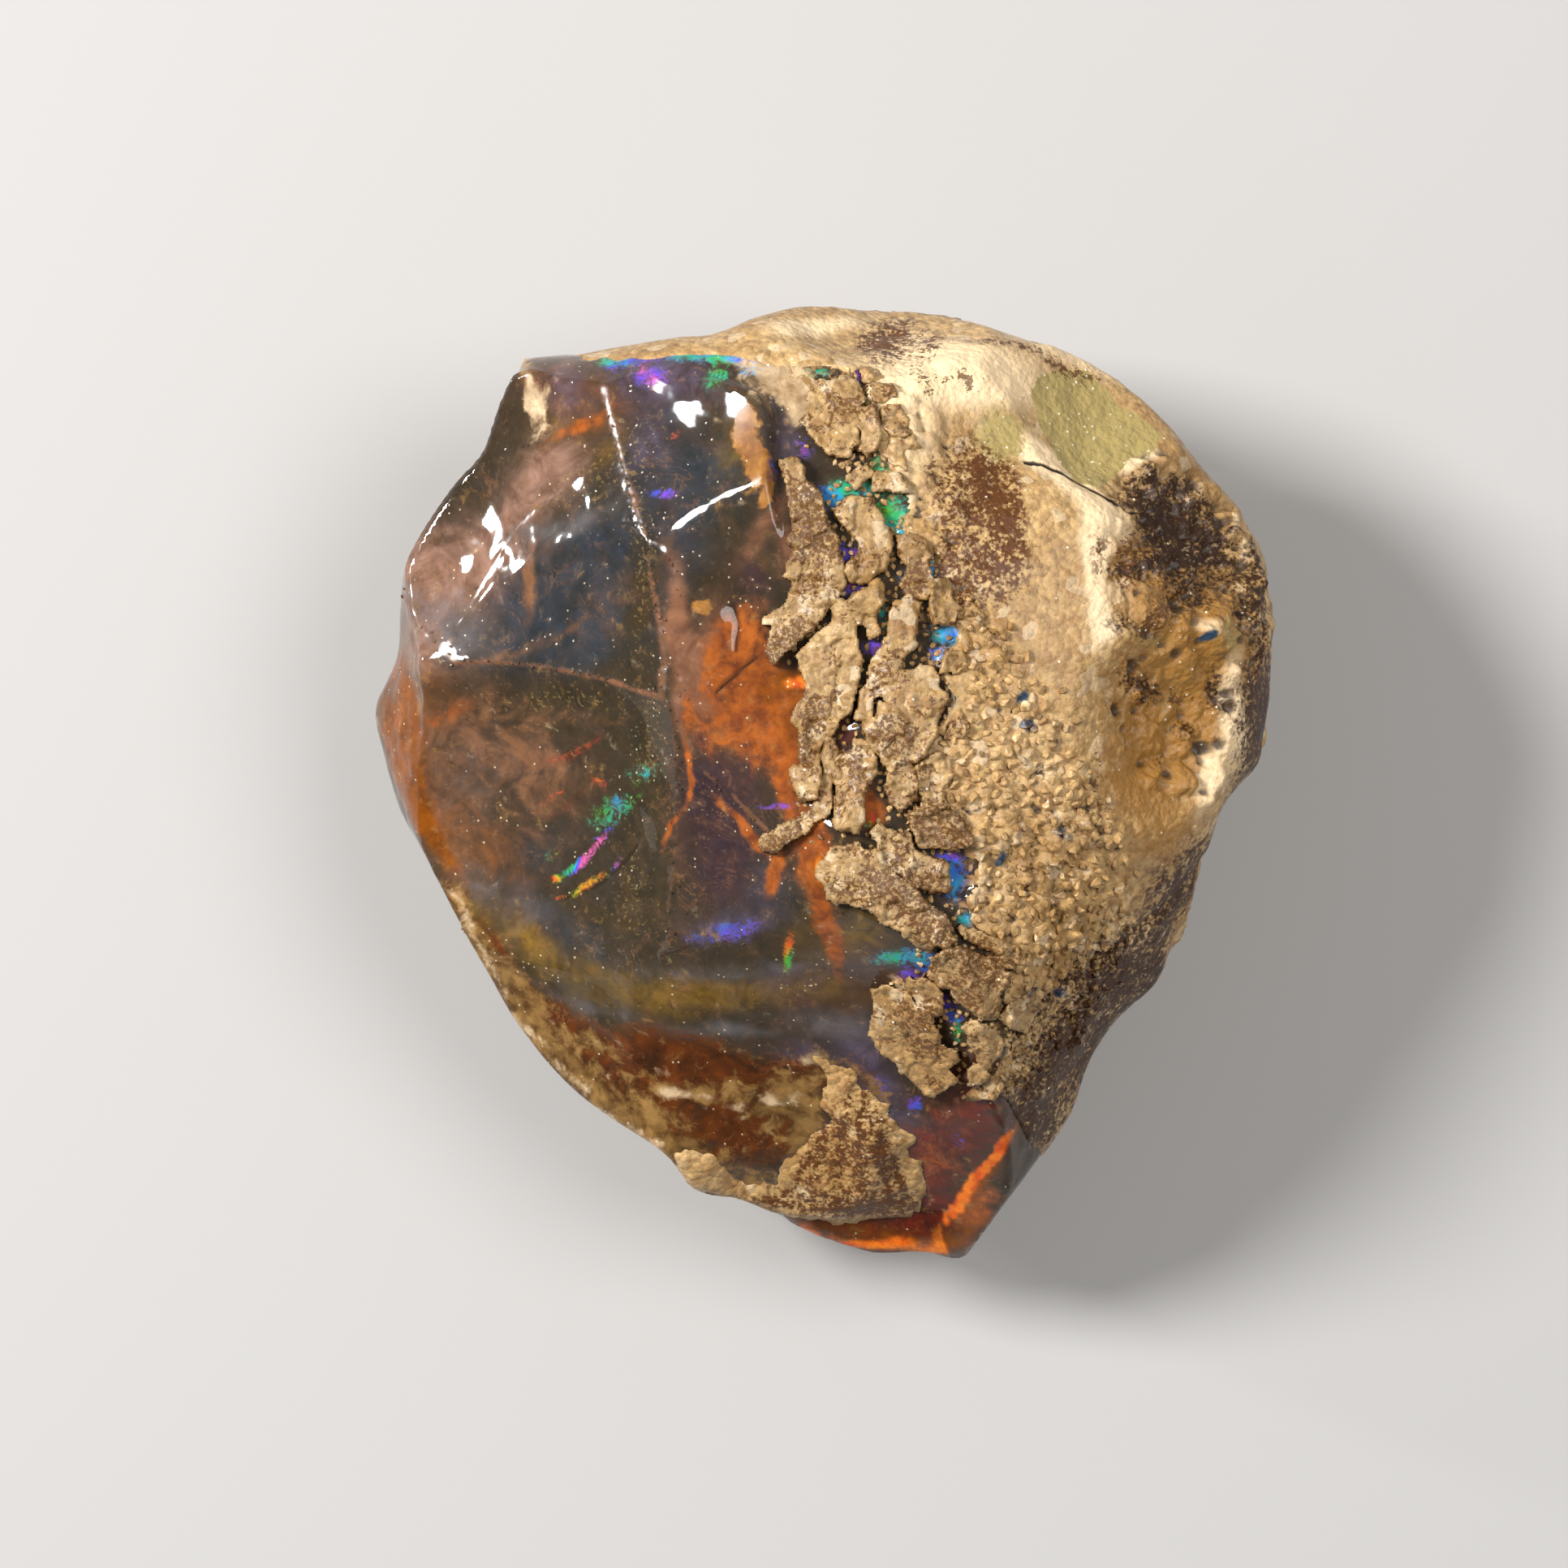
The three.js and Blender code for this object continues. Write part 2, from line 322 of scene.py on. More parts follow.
def geodesic(frequency):
    """A unit ball of 20 frequency² triangles: its points and its faces."""
    gold = (1 + math.sqrt(5)) / 2
    tips = np.array([
        (-1, gold, 0), (1, gold, 0), (-1, -gold, 0), (1, -gold, 0), (0, -1, gold), (0, 1, gold),
        (0, -1, -gold), (0, 1, -gold), (gold, 0, -1), (gold, 0, 1), (-gold, 0, -1), (-gold, 0, 1),
    ])
    sides = np.array([
        (0, 11, 5), (0, 5, 1), (0, 1, 7), (0, 7, 10), (0, 10, 11), (1, 5, 9), (5, 11, 4),
        (11, 10, 2), (10, 7, 6), (7, 1, 8), (3, 9, 4), (3, 4, 2), (3, 2, 6), (3, 6, 8),
        (3, 8, 9), (4, 9, 5), (2, 4, 11), (6, 2, 10), (8, 6, 7), (9, 8, 1),
    ])
    rows, columns = np.meshgrid(np.arange(frequency + 1), np.arange(frequency + 1), indexing="ij")
    keep = rows + columns <= frequency
    number = np.full(rows.shape, -1)
    number[keep] = np.arange(keep.sum())
    i, j = rows[keep], columns[keep]
    up = i + j < frequency
    down = (i > 0) & (j > 0)
    local = np.concatenate([
        np.column_stack((number[i[up], j[up]], number[i[up] + 1, j[up]], number[i[up], j[up] + 1])),
        np.column_stack((number[i[down], j[down]], number[i[down] - 1, j[down]],
                         number[i[down], j[down] - 1])),
    ])
    share = np.column_stack((frequency - i - j, i, j)) / frequency
    points = np.concatenate([share @ tips[side] for side in sides])
    faces = np.concatenate([local + k * len(share) for k in range(len(sides))])
    points /= np.linalg.norm(points, axis=1, keepdims=True)
    # Points that two sides of the ball share become one.
    _, first, back = np.unique(np.round(points, 6), axis=0, return_index=True, return_inverse=True)
    return points[first], back.reshape(-1)[faces]


def crowded(ball, towards, closeness):
    """Unit points drawn towards one side, where the most detail shows."""
    towards = np.array(towards) / np.linalg.norm(towards)
    along = np.clip(ball @ towards, -1, 1)
    aside = ball - along[:, None] * towards
    aside /= np.maximum(np.linalg.norm(aside, axis=1, keepdims=True), 1e-9)
    angle = 2 * np.arctan(closeness * np.tan(np.arccos(along) / 2))
    return np.cos(angle)[:, None] * towards + np.sin(angle)[:, None] * aside


def placed(name, data):
    """A new object in the scene."""
    made = bpy.data.objects.new(name, data)
    bpy.context.scene.collection.objects.link(made)
    return made


def mesh_object(name, points, faces, material, shades):
    """An object from points in millimetres, smooth, with a value of its own for each point."""
    mesh = bpy.data.meshes.new(name)
    mesh.from_pydata((points * MM).tolist(), [], faces.tolist())
    mesh.polygons.foreach_set("use_smooth", np.ones(len(mesh.polygons), bool))
    for label, values in shades.items():
        layer = mesh.attributes.new(label, "FLOAT", "POINT")
        layer.data.foreach_set("value", np.ascontiguousarray(values, np.float32))
    mesh.materials.append(material)
    mesh.validate()
    mesh.update()
    return placed(name, mesh)


face_balls = {
    name: (ball_through(CORNER[a], CORNER[b], CORNER[c], radius), radius)
    for name, (a, b, c, radius) in BROKEN_FACES.items()
}
hollow_balls = {name: (ball_over(*place), place[-1]) for name, place in HOLLOWS.items()}
opal_outline = from_pixels(OPAL_PIXELS)
island_outline = from_pixels(ISLAND_PIXELS)


def opal_bottom(bearing):
    """How low the opal shows on the stone's sides before the crust covers it."""
    at = np.radians([0, 90, 120, 135, 150, 190, 205, 240, 262, 285, 298, 310, 360])
    height = [15, 17, 14, 9, 6, 5, 5, 5, 5, 3, 4, 12, 15]
    return np.interp(bearing % (2 * math.pi), at, height)


# How far the broken faces wander from their balls, in millimetres. All of them wander together,
# so that a ridge stays a clean line, and away from the ridges some wander on their own.
SHARED_WAVES = 0.3
OWN_WAVES = {"crown": 0.35, "orange": 0.6, "plum": 0.4, "fin": 0.35, "nose": 0.8, "band": 0.5}
RIPPLES = 0.04  # how high the smallest ripples on every broken face are
WAVE_BALL = 18  # radius round the heart of the ball that the waves are drawn on
PIT_BALL = 24  # the same for the roughness of the hollows
HOLLOW_ROUGHNESS = 0.6  # how far a hollow wanders from its ball
HOLLOW_LIP = 2.4  # over how many millimetres a hollow's lip is rounded
SKIN_LIFT = 1.6  # how far the nodule's skin is lifted off the middle of the broken face
PLATE_BED = 0.55  # how deep the opal is sunk under the crust plates
CRUST_STEP = 0.5  # how high the crust stands over the opal at its edge
ISLAND_STEP = 0.4  # how much of that step is missing at the crust island
CRUST_RISE = 0.45  # how fast the crust grows thicker away from its edge
RIDGE_WIDTH = 0.13  # half width of the rough line along a chipped ridge


def rounding(one, other, wide):
    """How much lower two surfaces lie near the ridge between them, if it is rounded so wide."""
    return np.maximum(1 - np.abs(one - other) / wide, 0) ** 2 * wide / 4


def stone_skin(ball):
    """The ways out of the heart to points of a unit ball, and along each the distance to the
    broken opal, to the rock's skin, how far inside the opal's edge it is, and how close it is
    to a chipped ridge between two broken faces."""
    ways = nodule(ball) - HEART
    distance = np.linalg.norm(ways, axis=1)
    ways /= distance[:, None]

    # The stone is broken off at the nearest of the balls, with ridges where two are as near.
    spread = ways * WAVE_BALL
    together = SHARED_WAVES * lumps(spread, 5.0, 100, 2)
    reaches = {name: distance_to_ball(ways, middle, radius) + together
               for name, (middle, radius) in face_balls.items()}
    nearest = np.sort(np.array(list(reaches.values())), axis=0)
    apart = smooth(nearest[1] - nearest[0], 0.1, 1.6)
    for seed, (name, height) in enumerate(OWN_WAVES.items()):
        reaches[name] = reaches[name] + apart * height * lumps(spread, 5.0, 105 + 5 * seed, 2)
    for seed, name in enumerate(reaches):
        reaches[name] = reaches[name] + RIPPLES * lumps(spread, 1.6, 170 + 5 * seed)
    for one, other, wide in ROUNDED_RIDGES:
        lower = rounding(reaches[one], reaches[other], wide)
        reaches[one] = reaches[one] - lower
        reaches[other] = reaches[other] - lower
    broken = np.min(list(reaches.values()), axis=0)

    # The hollows are weathered into what is left of the nodule's skin.
    skin = distance
    for seed, (middle, radius) in enumerate(hollow_balls.values()):
        hollow = distance_to_ball(ways, middle, radius)
        hollow = hollow + HOLLOW_ROUGHNESS * lumps(ways * PIT_BALL, 3.0, 150 + 5 * seed, 4)
        skin = np.minimum(skin, hollow) - rounding(skin, hollow, HOLLOW_LIP)

    # The opal shows inside its outline on the face, down to its lowest line on the sides.
    place = HEART + ways * np.minimum(skin, broken)[:, None]
    bearing = np.arctan2(place[:, 1], place[:, 0])
    in_island = within(place[:, :2], island_outline)
    island = smooth(in_island, -1.5, 0.0)
    edge = np.minimum(within(place[:, :2], opal_outline), -in_island)
    edge = np.minimum(edge, (place[:, 2] - opal_bottom(bearing)) * 0.8)
    edge = edge + (0.25 + 0.75 * island) * lumps(place, 1.6, 3, 4)

    # Only the balls shape the middle of the face, and the crust steps up from its edge.
    inner_face = smooth(edge, 1.5, 3.5) * smooth(place[:, 2], 18, 22) * smooth(-place[:, 0], 2, 4)
    skin = skin + SKIN_LIFT * inner_face
    under_plates = smooth(place[:, 0], -4, -2) * smooth(place[:, 2], 20, 23) * smooth(edge, -0.1, 0.3)
    sunk = skin - PLATE_BED * under_plates
    opal = np.minimum(sunk, broken)
    crust = broken + CRUST_STEP - ISLAND_STEP * island + CRUST_RISE * np.maximum(-edge, 0)
    rock = np.minimum(skin, crust)

    ridge = np.zeros(len(ways))
    wide = RIDGE_WIDTH + 0.08 * lumps(spread, 1.6, 230, 2)
    for one, other, strength in CHIPPED_RIDGES:
        past = np.maximum(reaches[one], reaches[other]) - np.minimum(broken, sunk)
        ridge = np.maximum(ridge, strength * np.exp(-(past / wide) ** 2))
    ridge = ridge * smooth(edge, 0.0, 0.5) * smooth(-place[:, 0], -4.0, -0.5)
    return ways, opal, rock, edge, ridge


def strayed(place, amount, seed):
    """Points seen from above, moved about a little, so that marks on them get torn edges."""
    x = place[:, 0] + amount * lumps(place, 3.0, seed, 4)
    y = place[:, 1] + amount * lumps(place, 3.0, seed + 40, 4)
    return np.column_stack((x, y))


def mark(flat, px, py, long, wide, turn, strength):
    """A soft-edged spot, from 0 to 1: the pixel of its middle, its half length and half width
    in pixels, its turn in degrees and its strength."""
    to = flat - from_pixels((px, py))
    turn = math.radians(turn)
    along = to[:, 0] * math.cos(turn) + to[:, 1] * math.sin(turn)
    aside = to[:, 1] * math.cos(turn) - to[:, 0] * math.sin(turn)
    return strength * np.exp(-(along / (long * PIXEL)) ** 2 - (aside / (wide * PIXEL)) ** 2)


def marks(flat, spots):
    """How strongly several spots cover each point together."""
    bare = np.ones(len(flat))
    for spot in spots:
        bare *= 1 - mark(flat, *spot)
    return 1 - bare


def drawn(flat, lines):
    """How strongly each point is on one of several lines, each a half width in pixels, a
    strength and its pixels."""
    strongest = np.zeros(len(flat))
    for wide, strength, line in lines:
        near = near_line(flat, from_pixels(line)) / (wide * PIXEL)
        strongest = np.maximum(strongest, strength * np.exp(-near**2))
    return strongest


def linear(code):
    """The linear colour for an sRGB hex code."""
    parts = [int(code[k:k + 2], 16) / 255 for k in (1, 3, 5)]
    return [p / 12.92 if p <= 0.04045 else ((p + 0.055) / 1.055) ** 2.4 for p in parts] + [1]


def plug(tree, node, sockets):
    """Links the inputs that are given as sockets of other nodes, and sets the others."""
    for name, value in dict(sockets).items():
        if isinstance(value, bpy.types.NodeSocket):
            tree.links.new(value, node.inputs[name])
        else:
            node.inputs[name].default_value = value


def add(tree, kind, sockets=(), **settings):
    """A new node with its inputs and settings."""
    made = tree.nodes.new(kind)
    for name, value in settings.items():
        setattr(made, name, value)
    plug(tree, made, sockets)
    return made


def node_material(name):
    """A new material made of nodes, its tree and its shader."""
    material = bpy.data.materials.new(name)
    material.use_nodes = True
    return material, material.node_tree, material.node_tree.nodes["Principled BSDF"]


def fineness(millimetres):
    """The scale that makes a pattern's patches or cells about this wide."""
    return 1 / (millimetres * MM)


# Where each colour lies on the opal's face, where chips are painted as glints, and where gold dust
# lies: pixel, half length, half width, turn, strength.
OPAL_MARKS = {
    "slate_glass": [
        (715, 740, 110, 80, 10, 1), (640, 735, 50, 60, 30, .7), (755, 675, 60, 30, 20, .9),
        (690, 795, 90, 26, 5, .8), (870, 590, 80, 46, 10, .9), (800, 520, 40, 50, 0, .7),
        (850, 655, 50, 46, 0, .8), (640, 1060, 90, 40, 25, .4),
        (930, 1110, 60, 40, 0, .5), (1060, 1290, 50, 50, 0, .4), (1010, 860, 12, 40, 0, .3),
        (680, 1130, 80, 30, -20, .6), (730, 1185, 50, 24, -20, .5),
    ],
    "olive_glass": [
        (700, 868, 130, 26, -3, 1), (800, 920, 26, 70, 0, .9), (795, 740, 22, 110, -10, .9),
        (740, 585, 60, 30, 30, .8), (770, 520, 30, 50, 60, .5), (895, 665, 40, 36, 40, .6),
        (925, 560, 30, 70, 0, .5), (790, 1060, 30, 90, 0, .9), (560, 1110, 60, 18, -60, .6),
        (740, 1120, 60, 40, -20, .7), (640, 900, 160, 60, 0, .35), (1000, 880, 30, 30, 0, .5),
        (1020, 1190, 60, 26, 0, .6), (860, 1080, 20, 60, 0, .4), (660, 1215, 80, 34, -48, .5),
        (600, 1105, 60, 40, -50, .5),
    ],
    "olive_gold": [
        (640, 1152, 110, 20, -38, .75), (750, 1205, 80, 20, -20, .6), (900, 1215, 140, 26, 4, 1),
        (1040, 1165, 60, 30, 32, .9), (462, 850, 14, 34, 15, .9), (905, 560, 24, 60, -12, .5),
        (700, 520, 40, 30, 60, .5), (1000, 1130, 50, 20, 40, .5), (760, 560, 30, 20, 50, .5),
        (640, 1250, 70, 22, -50, .5), (930, 700, 24, 30, 50, .3),
    ],
    "amber_brown": [
        (715, 520, 46, 36, 60, .6), (755, 500, 24, 50, 65, .4), (530, 945, 120, 50, -62, .9),
        (560, 900, 60, 60, 0, .35), (600, 1050, 80, 34, -45, .5), (680, 470, 40, 30, 60, .5),
        (540, 830, 60, 16, -10, .4), (500, 800, 30, 30, 60, .4), (1050, 1230, 60, 20, 20, .3),
    ],
    "iron_cloud": [
        (585, 905, 85, 42, -8, .9), (650, 940, 80, 36, -12, .8), (540, 965, 40, 60, 0, .6),
        (660, 1000, 50, 45, 0, .45), (590, 1065, 60, 34, -42, .4), (690, 880, 70, 14, -8, .4),
        (660, 710, 8, 50, -4, .9), (700, 790, 50, 7, 30, .5), (620, 812, 50, 8, 20, .8),
        (925, 700, 40, 14, 65, .6), (760, 740, 40, 40, 0, .35), (820, 700, 8, 60, -14, .4),
        (900, 900, 60, 80, 0, .4), (840, 1060, 18, 120, 0, .3),
    ],
    "dusty_rose": [
        (610, 685, 110, 40, 52, .95), (545, 750, 70, 46, 60, .8), (685, 585, 40, 32, 40, .9),
        (520, 790, 20, 40, 20, .5), (510, 690, 50, 50, 60, .7), (700, 468, 30, 12, 80, .7),
        (470, 790, 16, 60, 10, .7),
    ],
    "rosy_tan": [
        (838, 780, 90, 14, -85, 1), (850, 815, 50, 22, -70, .9), (868, 850, 40, 20, -60, .8),
        (882, 800, 60, 26, 75, .75), (950, 655, 60, 12, 55, .7), (972, 690, 14, 40, 0, .7),
        (900, 880, 40, 30, 0, .4), (842, 890, 44, 7, -68, .7),
    ],
    "dark_plum": [
        (890, 1040, 44, 80, 8, .95), (895, 965, 50, 40, 0, .85), (1060, 1185, 60, 26, 0, .5),
        (1035, 905, 22, 30, 0, .9), (1085, 930, 20, 20, 0, .5), (800, 470, 50, 20, -70, .5),
        (990, 1230, 50, 20, 0, .4), (935, 725, 20, 40, 20, .6), (1004, 860, 14, 30, 0, .7),
        (870, 900, 12, 30, 20, .6), (1100, 1290, 40, 30, 0, .4),
    ],
    "milky_haze": [
        (575, 780, 36, 42, 40, .7), (585, 970, 40, 40, 0, .25),
        (700, 652, 80, 12, 18, .75), (500, 740, 24, 50, 50, .5), (930, 1188, 150, 12, 4, .5),
        (740, 1240, 70, 9, -20, .5), (590, 1090, 60, 14, -50, .4), (660, 1120, 90, 20, -28, .3),
        (1040, 1262, 80, 20, -8, .8), (890, 1268, 60, 9, 0, .7), (960, 500, 30, 40, 0, .3),
    ],
    "violet_smoke": [
        (905, 1138, 50, 16, 10, .9), (945, 1090, 30, 30, 0, .35), (1070, 1310, 50, 30, -52, .8),
        (1110, 1370, 50, 20, -55, .6), (990, 1205, 60, 14, 10, .4), (965, 560, 20, 40, 0, .5),
        (830, 480, 60, 30, 0, .8), (1000, 1290, 50, 20, 0, .5), (800, 560, 30, 50, 0, .5),
        (705, 485, 30, 34, 0, .5),
    ],
    "deep_red": [
        (1170, 1400, 60, 50, 20, .9), (1130, 1460, 40, 40, 0, .8), (1040, 1505, 90, 16, -4, .8),
        (1200, 1330, 30, 60, 20, .6), (1035, 905, 20, 26, 0, .5), (1150, 1500, 60, 30, 20, .8),
        (1090, 1522, 70, 14, -10, .8),
        (1045, 1000, 20, 40, 20, .5), (715, 925, 60, 8, 20, .4), (700, 985, 50, 8, 40, .35),
    ],
    "hot_orange": [
        (850, 950, 40, 6, 88, .8), (836, 1010, 30, 5, 70, .7), (905, 810, 60, 34, 75, .8),
        (935, 870, 66, 40, 80, .95), (962, 900, 40, 34, 80, .95), (972, 960, 14, 50, 0, 1),
        (1000, 1060, 22, 70, 8, 1), (1020, 1150, 12, 50, 15, .9), (955, 1075, 10, 32, -10, 1),
        (1060, 990, 26, 40, 20, .9), (720, 535, 50, 9, 20, .6), (905, 1000, 40, 6, -46, .7),
        (930, 1035, 26, 8, -56, .8), (1150, 1420, 60, 30, 30, .4), (1205, 1490, 40, 40, 0, .6),
        (1010, 965, 7, 30, 0, 1), (560, 880, 60, 18, 30, .4), (855, 880, 30, 10, -68, .6),
        (520, 1000, 60, 14, -62, .5), (880, 900, 20, 30, 0, .4),
    ],
    # The ember marks are painted glow: bright orange lines, most of them along the bottom rim.
    "painted_ember_glow": [
        (1208, 1442, 70, 6, 56, 1), (1180, 1488, 30, 6, 50, .9), (1060, 1536, 60, 6, 4, .9),
        (1130, 1540, 60, 6, -6, .9), (1000, 1520, 30, 5, -16, .8), (1228, 1408, 20, 5, 60, .8),
        (1010, 1070, 6, 20, 10, .8), (986, 845, 20, 10, 10, .7),
    ],
    "tan_mottle": [
        (600, 1170, 90, 20, -56, .9), (650, 1250, 70, 24, -50, .9), (700, 1310, 70, 22, -40, .9),
        (780, 1370, 80, 22, -34, .9), (860, 1430, 60, 26, -24, .9), (940, 1470, 70, 20, -8, .9),
        (640, 1210, 40, 16, -50, .6), (860, 1345, 80, 12, -4, .6), (960, 1350, 50, 18, -6, .7),
        (990, 1400, 30, 60, 20, .8), (740, 1290, 40, 12, -30, .5),
        (975, 1345, 40, 34, 30, .75), (1075, 1330, 30, 12, -40, .7), (1020, 1300, 14, 20, 0, .7),
    ],
    # The amber glow marks are the opal's amber colour along its thin rims, brightened as painted glow.
    "amber_and_painted_glow": [
        (476, 890, 60, 20, -74, .9), (497, 945, 55, 18, -62, 1), (520, 995, 60, 16, -62, .9),
        (985, 842, 26, 18, 10, 1), (978, 890, 10, 26, 0, .6), (1010, 1072, 8, 20, 10, 1),
        (1215, 1440, 74, 8, 56, 1), (1100, 1540, 110, 10, 0, .9), (1190, 1520, 40, 12, 40, .8),
        (1040, 1516, 90, 10, -4, .8), (548, 1045, 50, 10, -60, .8), (508, 880, 70, 16, -78, .9),
        (500, 820, 30, 14, -80, .6), (1000, 985, 8, 30, 0, .6), (955, 870, 10, 30, 20, .4),
    ],
    "gold_plate": [
        (926, 548, 17, 34, 4, 1), (930, 585, 13, 30, -14, 1), (938, 618, 7, 22, -14, 1),
        (918, 522, 10, 16, 0, .9), (860, 752, 14, 10, 20, .9), (914, 560, 8, 12, 0, .8),
    ],
    "rusty_crust": [
        (900, 1320, 170, 40, -3, 1), (800, 1310, 90, 40, -22, .95), (920, 1390, 90, 36, -8, .95),
        (690, 1270, 80, 26, -48, .9), (620, 1190, 90, 18, -58, .8), (570, 1110, 60, 8, -60, .5),
        (760, 1350, 90, 22, -32, .9), (860, 1440, 90, 30, -20, .9), (1080, 1525, 90, 10, 0, .6),
    ],
    "crust_film": [
        (662, 500, 12, 40, 12, .95), (676, 500, 20, 8, 50, .9), (650, 455, 20, 8, 0, .8),
        (850, 1345, 40, 7, -6, .6), (905, 1362, 24, 7, 0, .55), (960, 1352, 30, 8, -10, .6),
        (1005, 1300, 14, 12, 0, .8), (600, 1182, 60, 5, -56, .6), (650, 1262, 50, 6, -46, .6),
        (700, 1322, 40, 6, -40, .6), (960, 482, 50, 24, -20, 1), (985, 515, 24, 28, 0, .9),
        (930, 455, 34, 7, 0, .7), (780, 1396, 60, 8, -34, .7), (1120, 1215, 20, 12, -45, .7),
        (575, 1128, 50, 5, -58, .55), (850, 1450, 60, 9, -26, .8), (905, 1478, 60, 9, -12, .8),
    ],
    # The sparkle marks are where chips are painted as glints: painted highlights.
    "painted_sparkle": [
        (760, 625, 70, 16, -14, .8), (800, 660, 30, 40, 0, .6), (590, 720, 60, 24, 56, .7),
        (720, 805, 110, 9, -6, 1), (500, 850, 20, 70, -10, .6), (920, 740, 30, 50, 30, .6),
        (905, 985, 24, 90, 10, .5), (800, 945, 40, 60, 0, .5), (640, 1180, 90, 14, -36, .6),
        (700, 470, 40, 20, 60, .8), (1000, 1200, 80, 30, 0, .5), (850, 640, 20, 60, 20, .5),
    ],
    "gold_dust": [
        (800, 700, 18, 110, 0, 1), (690, 865, 110, 20, -3, .9), (800, 930, 20, 60, 0, 1),
        (780, 1100, 30, 90, 0, .8), (860, 620, 40, 60, 0, .4), (740, 600, 70, 30, 20, .9),
        (880, 1010, 40, 60, 0, .4), (760, 1180, 60, 16, -30, .6), (900, 880, 60, 60, 0, .3),
        (930, 1240, 120, 30, 0, .3), (600, 700, 60, 60, 40, .3), (790, 560, 20, 60, -20, .8),
    ],
}
# Ridges and cracks on the opal's face: half width in pixels, strength and the line.
OPAL_RIDGES = [
    (4, .8, [(500, 735), (520, 765), (540, 790), (570, 820)]),
    (2, .35, [(700, 610), (640, 660), (600, 720), (560, 790)]),
    (4, .8, [(870, 950), (905, 980), (945, 1020), (960, 1050)]),
    (2, .4, [(840, 1115), (870, 1148), (900, 1160), (930, 1156)]),
    (2, .5, [(610, 540), (600, 560), (645, 556), (690, 540)]),
    (3, .5, [(520, 1080), (560, 1130), (610, 1190), (640, 1230)]),
]
OPAL_CRACKS = [
    (2, 1, [(886, 856), (905, 838), (930, 816)]),
    (2, .7, [(945, 760), (938, 780), (950, 800)]),
    (2, .6, [(700, 1105), (740, 1090), (775, 1060), (790, 1040)]),
    (3, .8, [(905, 752), (912, 775), (908, 805)]),
    (2, .5, [(1082, 1130), (1060, 1150)]),
]
# The play of colour: spots as in the marks, each with its hue from 0, red, to 1, magenta.
FIRE_MARKS = [
    (800, 450, 40, 9, 4, .9, .82), (850, 452, 30, 9, 0, .9, .6), (890, 450, 24, 9, 0, .9, .44),
    (760, 454, 24, 8, 0, .8, .5), (1022, 622, 18, 18, 0, 1, .66), (1045, 610, 30, 14, 10, 1, .5),
    (1062, 612, 18, 8, 0, .8, .46), (1092, 640, 24, 26, 40, 1, .46), (1102, 668, 18, 20, 40, 1, .5),
    (1078, 590, 16, 20, 20, .9, .44),
    (1070, 512, 8, 12, 0, .9, .5), (1085, 536, 7, 9, 0, .9, .55), (1035, 690, 9, 30, 30, .9, .82),
    (1048, 692, 8, 10, 0, 1, .86), (1050, 732, 22, 8, 10, 1, .82), (1062, 726, 14, 6, 10, .8, .62),
    (1083, 770, 8, 30, 0, .9, .6), (1140, 700, 7, 46, 5, .95, .6), (1107, 720, 10, 9, 0, .9, .66),
    (1165, 785, 24, 14, -20, .95, .62), (1172, 780, 12, 8, 0, .8, .52), (1150, 812, 12, 16, 0, .8, .7),
    (1068, 802, 13, 12, 0, 1, .88), (1152, 1225, 34, 8, -38, 1, .82), (1170, 1080, 22, 28, 0, 1, .72),
    (1165, 1052, 18, 6, 0, .9, .88), (1125, 1172, 26, 12, 0, 1, .64), (1140, 1185, 20, 10, 0, 1, .76),
    (1118, 1198, 20, 10, -20, .9, .88), (1090, 1172, 26, 10, 10, .8, .56), (1176, 1262, 6, 14, 10, 1, .45),
    (1184, 1128, 14, 9, 0, .9, .56), (1165, 1245, 14, 5, -30, .9, .86), (1160, 1300, 12, 26, 0, .6, .8),
    (1125, 1355, 10, 9, 0, 1, .84), (1205, 1340, 8, 8, 0, .8, .68), (1172, 1078, 10, 18, 0, .6, .8),
    (1055, 1250, 20, 18, 0, .35, .1), (1075, 1010, 6, 12, 30, .9, .02), (1070, 1018, 5, 6, 0, .8, .45),
    (1005, 470, 22, 6, 0, .8, .42), (1060, 476, 7, 10, 0, 1, .84), (990, 565, 14, 20, 0, .6, .86),
    (950, 590, 8, 20, 0, .5, .82), (808, 478, 22, 13, 0, 1, .86), (795, 470, 10, 12, 0, .6, .9),
    (822, 616, 22, 6, 0, .9, .84), (885, 478, 14, 20, -30, .9, .44), (905, 442, 30, 5, -4, .9, .42),
    (900, 452, 26, 6, -10, .8, .82), (870, 446, 18, 5, 0, .7, .8), (930, 470, 26, 12, 0, .5, .7),
    (760, 458, 16, 30, 20, .4, .86), (778, 450, 12, 5, 20, .8, .42), (836, 545, 6, 8, 0, .6, .1),
    (960, 993, 26, 5, -4, .7, .82), (738, 1040, 30, 5, 48, .8, .98), (724, 1060, 26, 5, 44, .72, .95),
    (735, 1084, 26, 6, 38, .76, .18), (722, 1092, 20, 4, 34, .72, .3), (706, 1068, 24, 7, 35, .72, .5),
    (692, 1078, 12, 5, 10, .64, .02), (695, 1101, 14, 3, 8, .72, .06), (683, 1050, 12, 9, 0, .48, .4),
    (765, 990, 36, 18, 20, .56, .44), (800, 952, 26, 14, 0, .56, .46), (745, 1010, 20, 20, 0, .4, .5),
    (715, 925, 50, 7, 20, .48, .02), (740, 962, 14, 11, 0, .56, 0), (680, 985, 40, 6, 40, .48, .08),
    (762, 1062, 20, 5, 60, .48, .98), (760, 985, 8, 10, 0, .48, .6), (972, 1160, 6, 14, -8, 1, .1),
    (972, 1180, 6, 12, -8, 1, .36), (1180, 1400, 12, 16, 20, .5, .88), (1085, 1330, 40, 20, -50, .35, .8),
    (912, 1142, 36, 14, 0, .7, .8), (865, 1150, 26, 12, 0, .4, .8), (1010, 1180, 8, 14, 0, .3, .6),
]
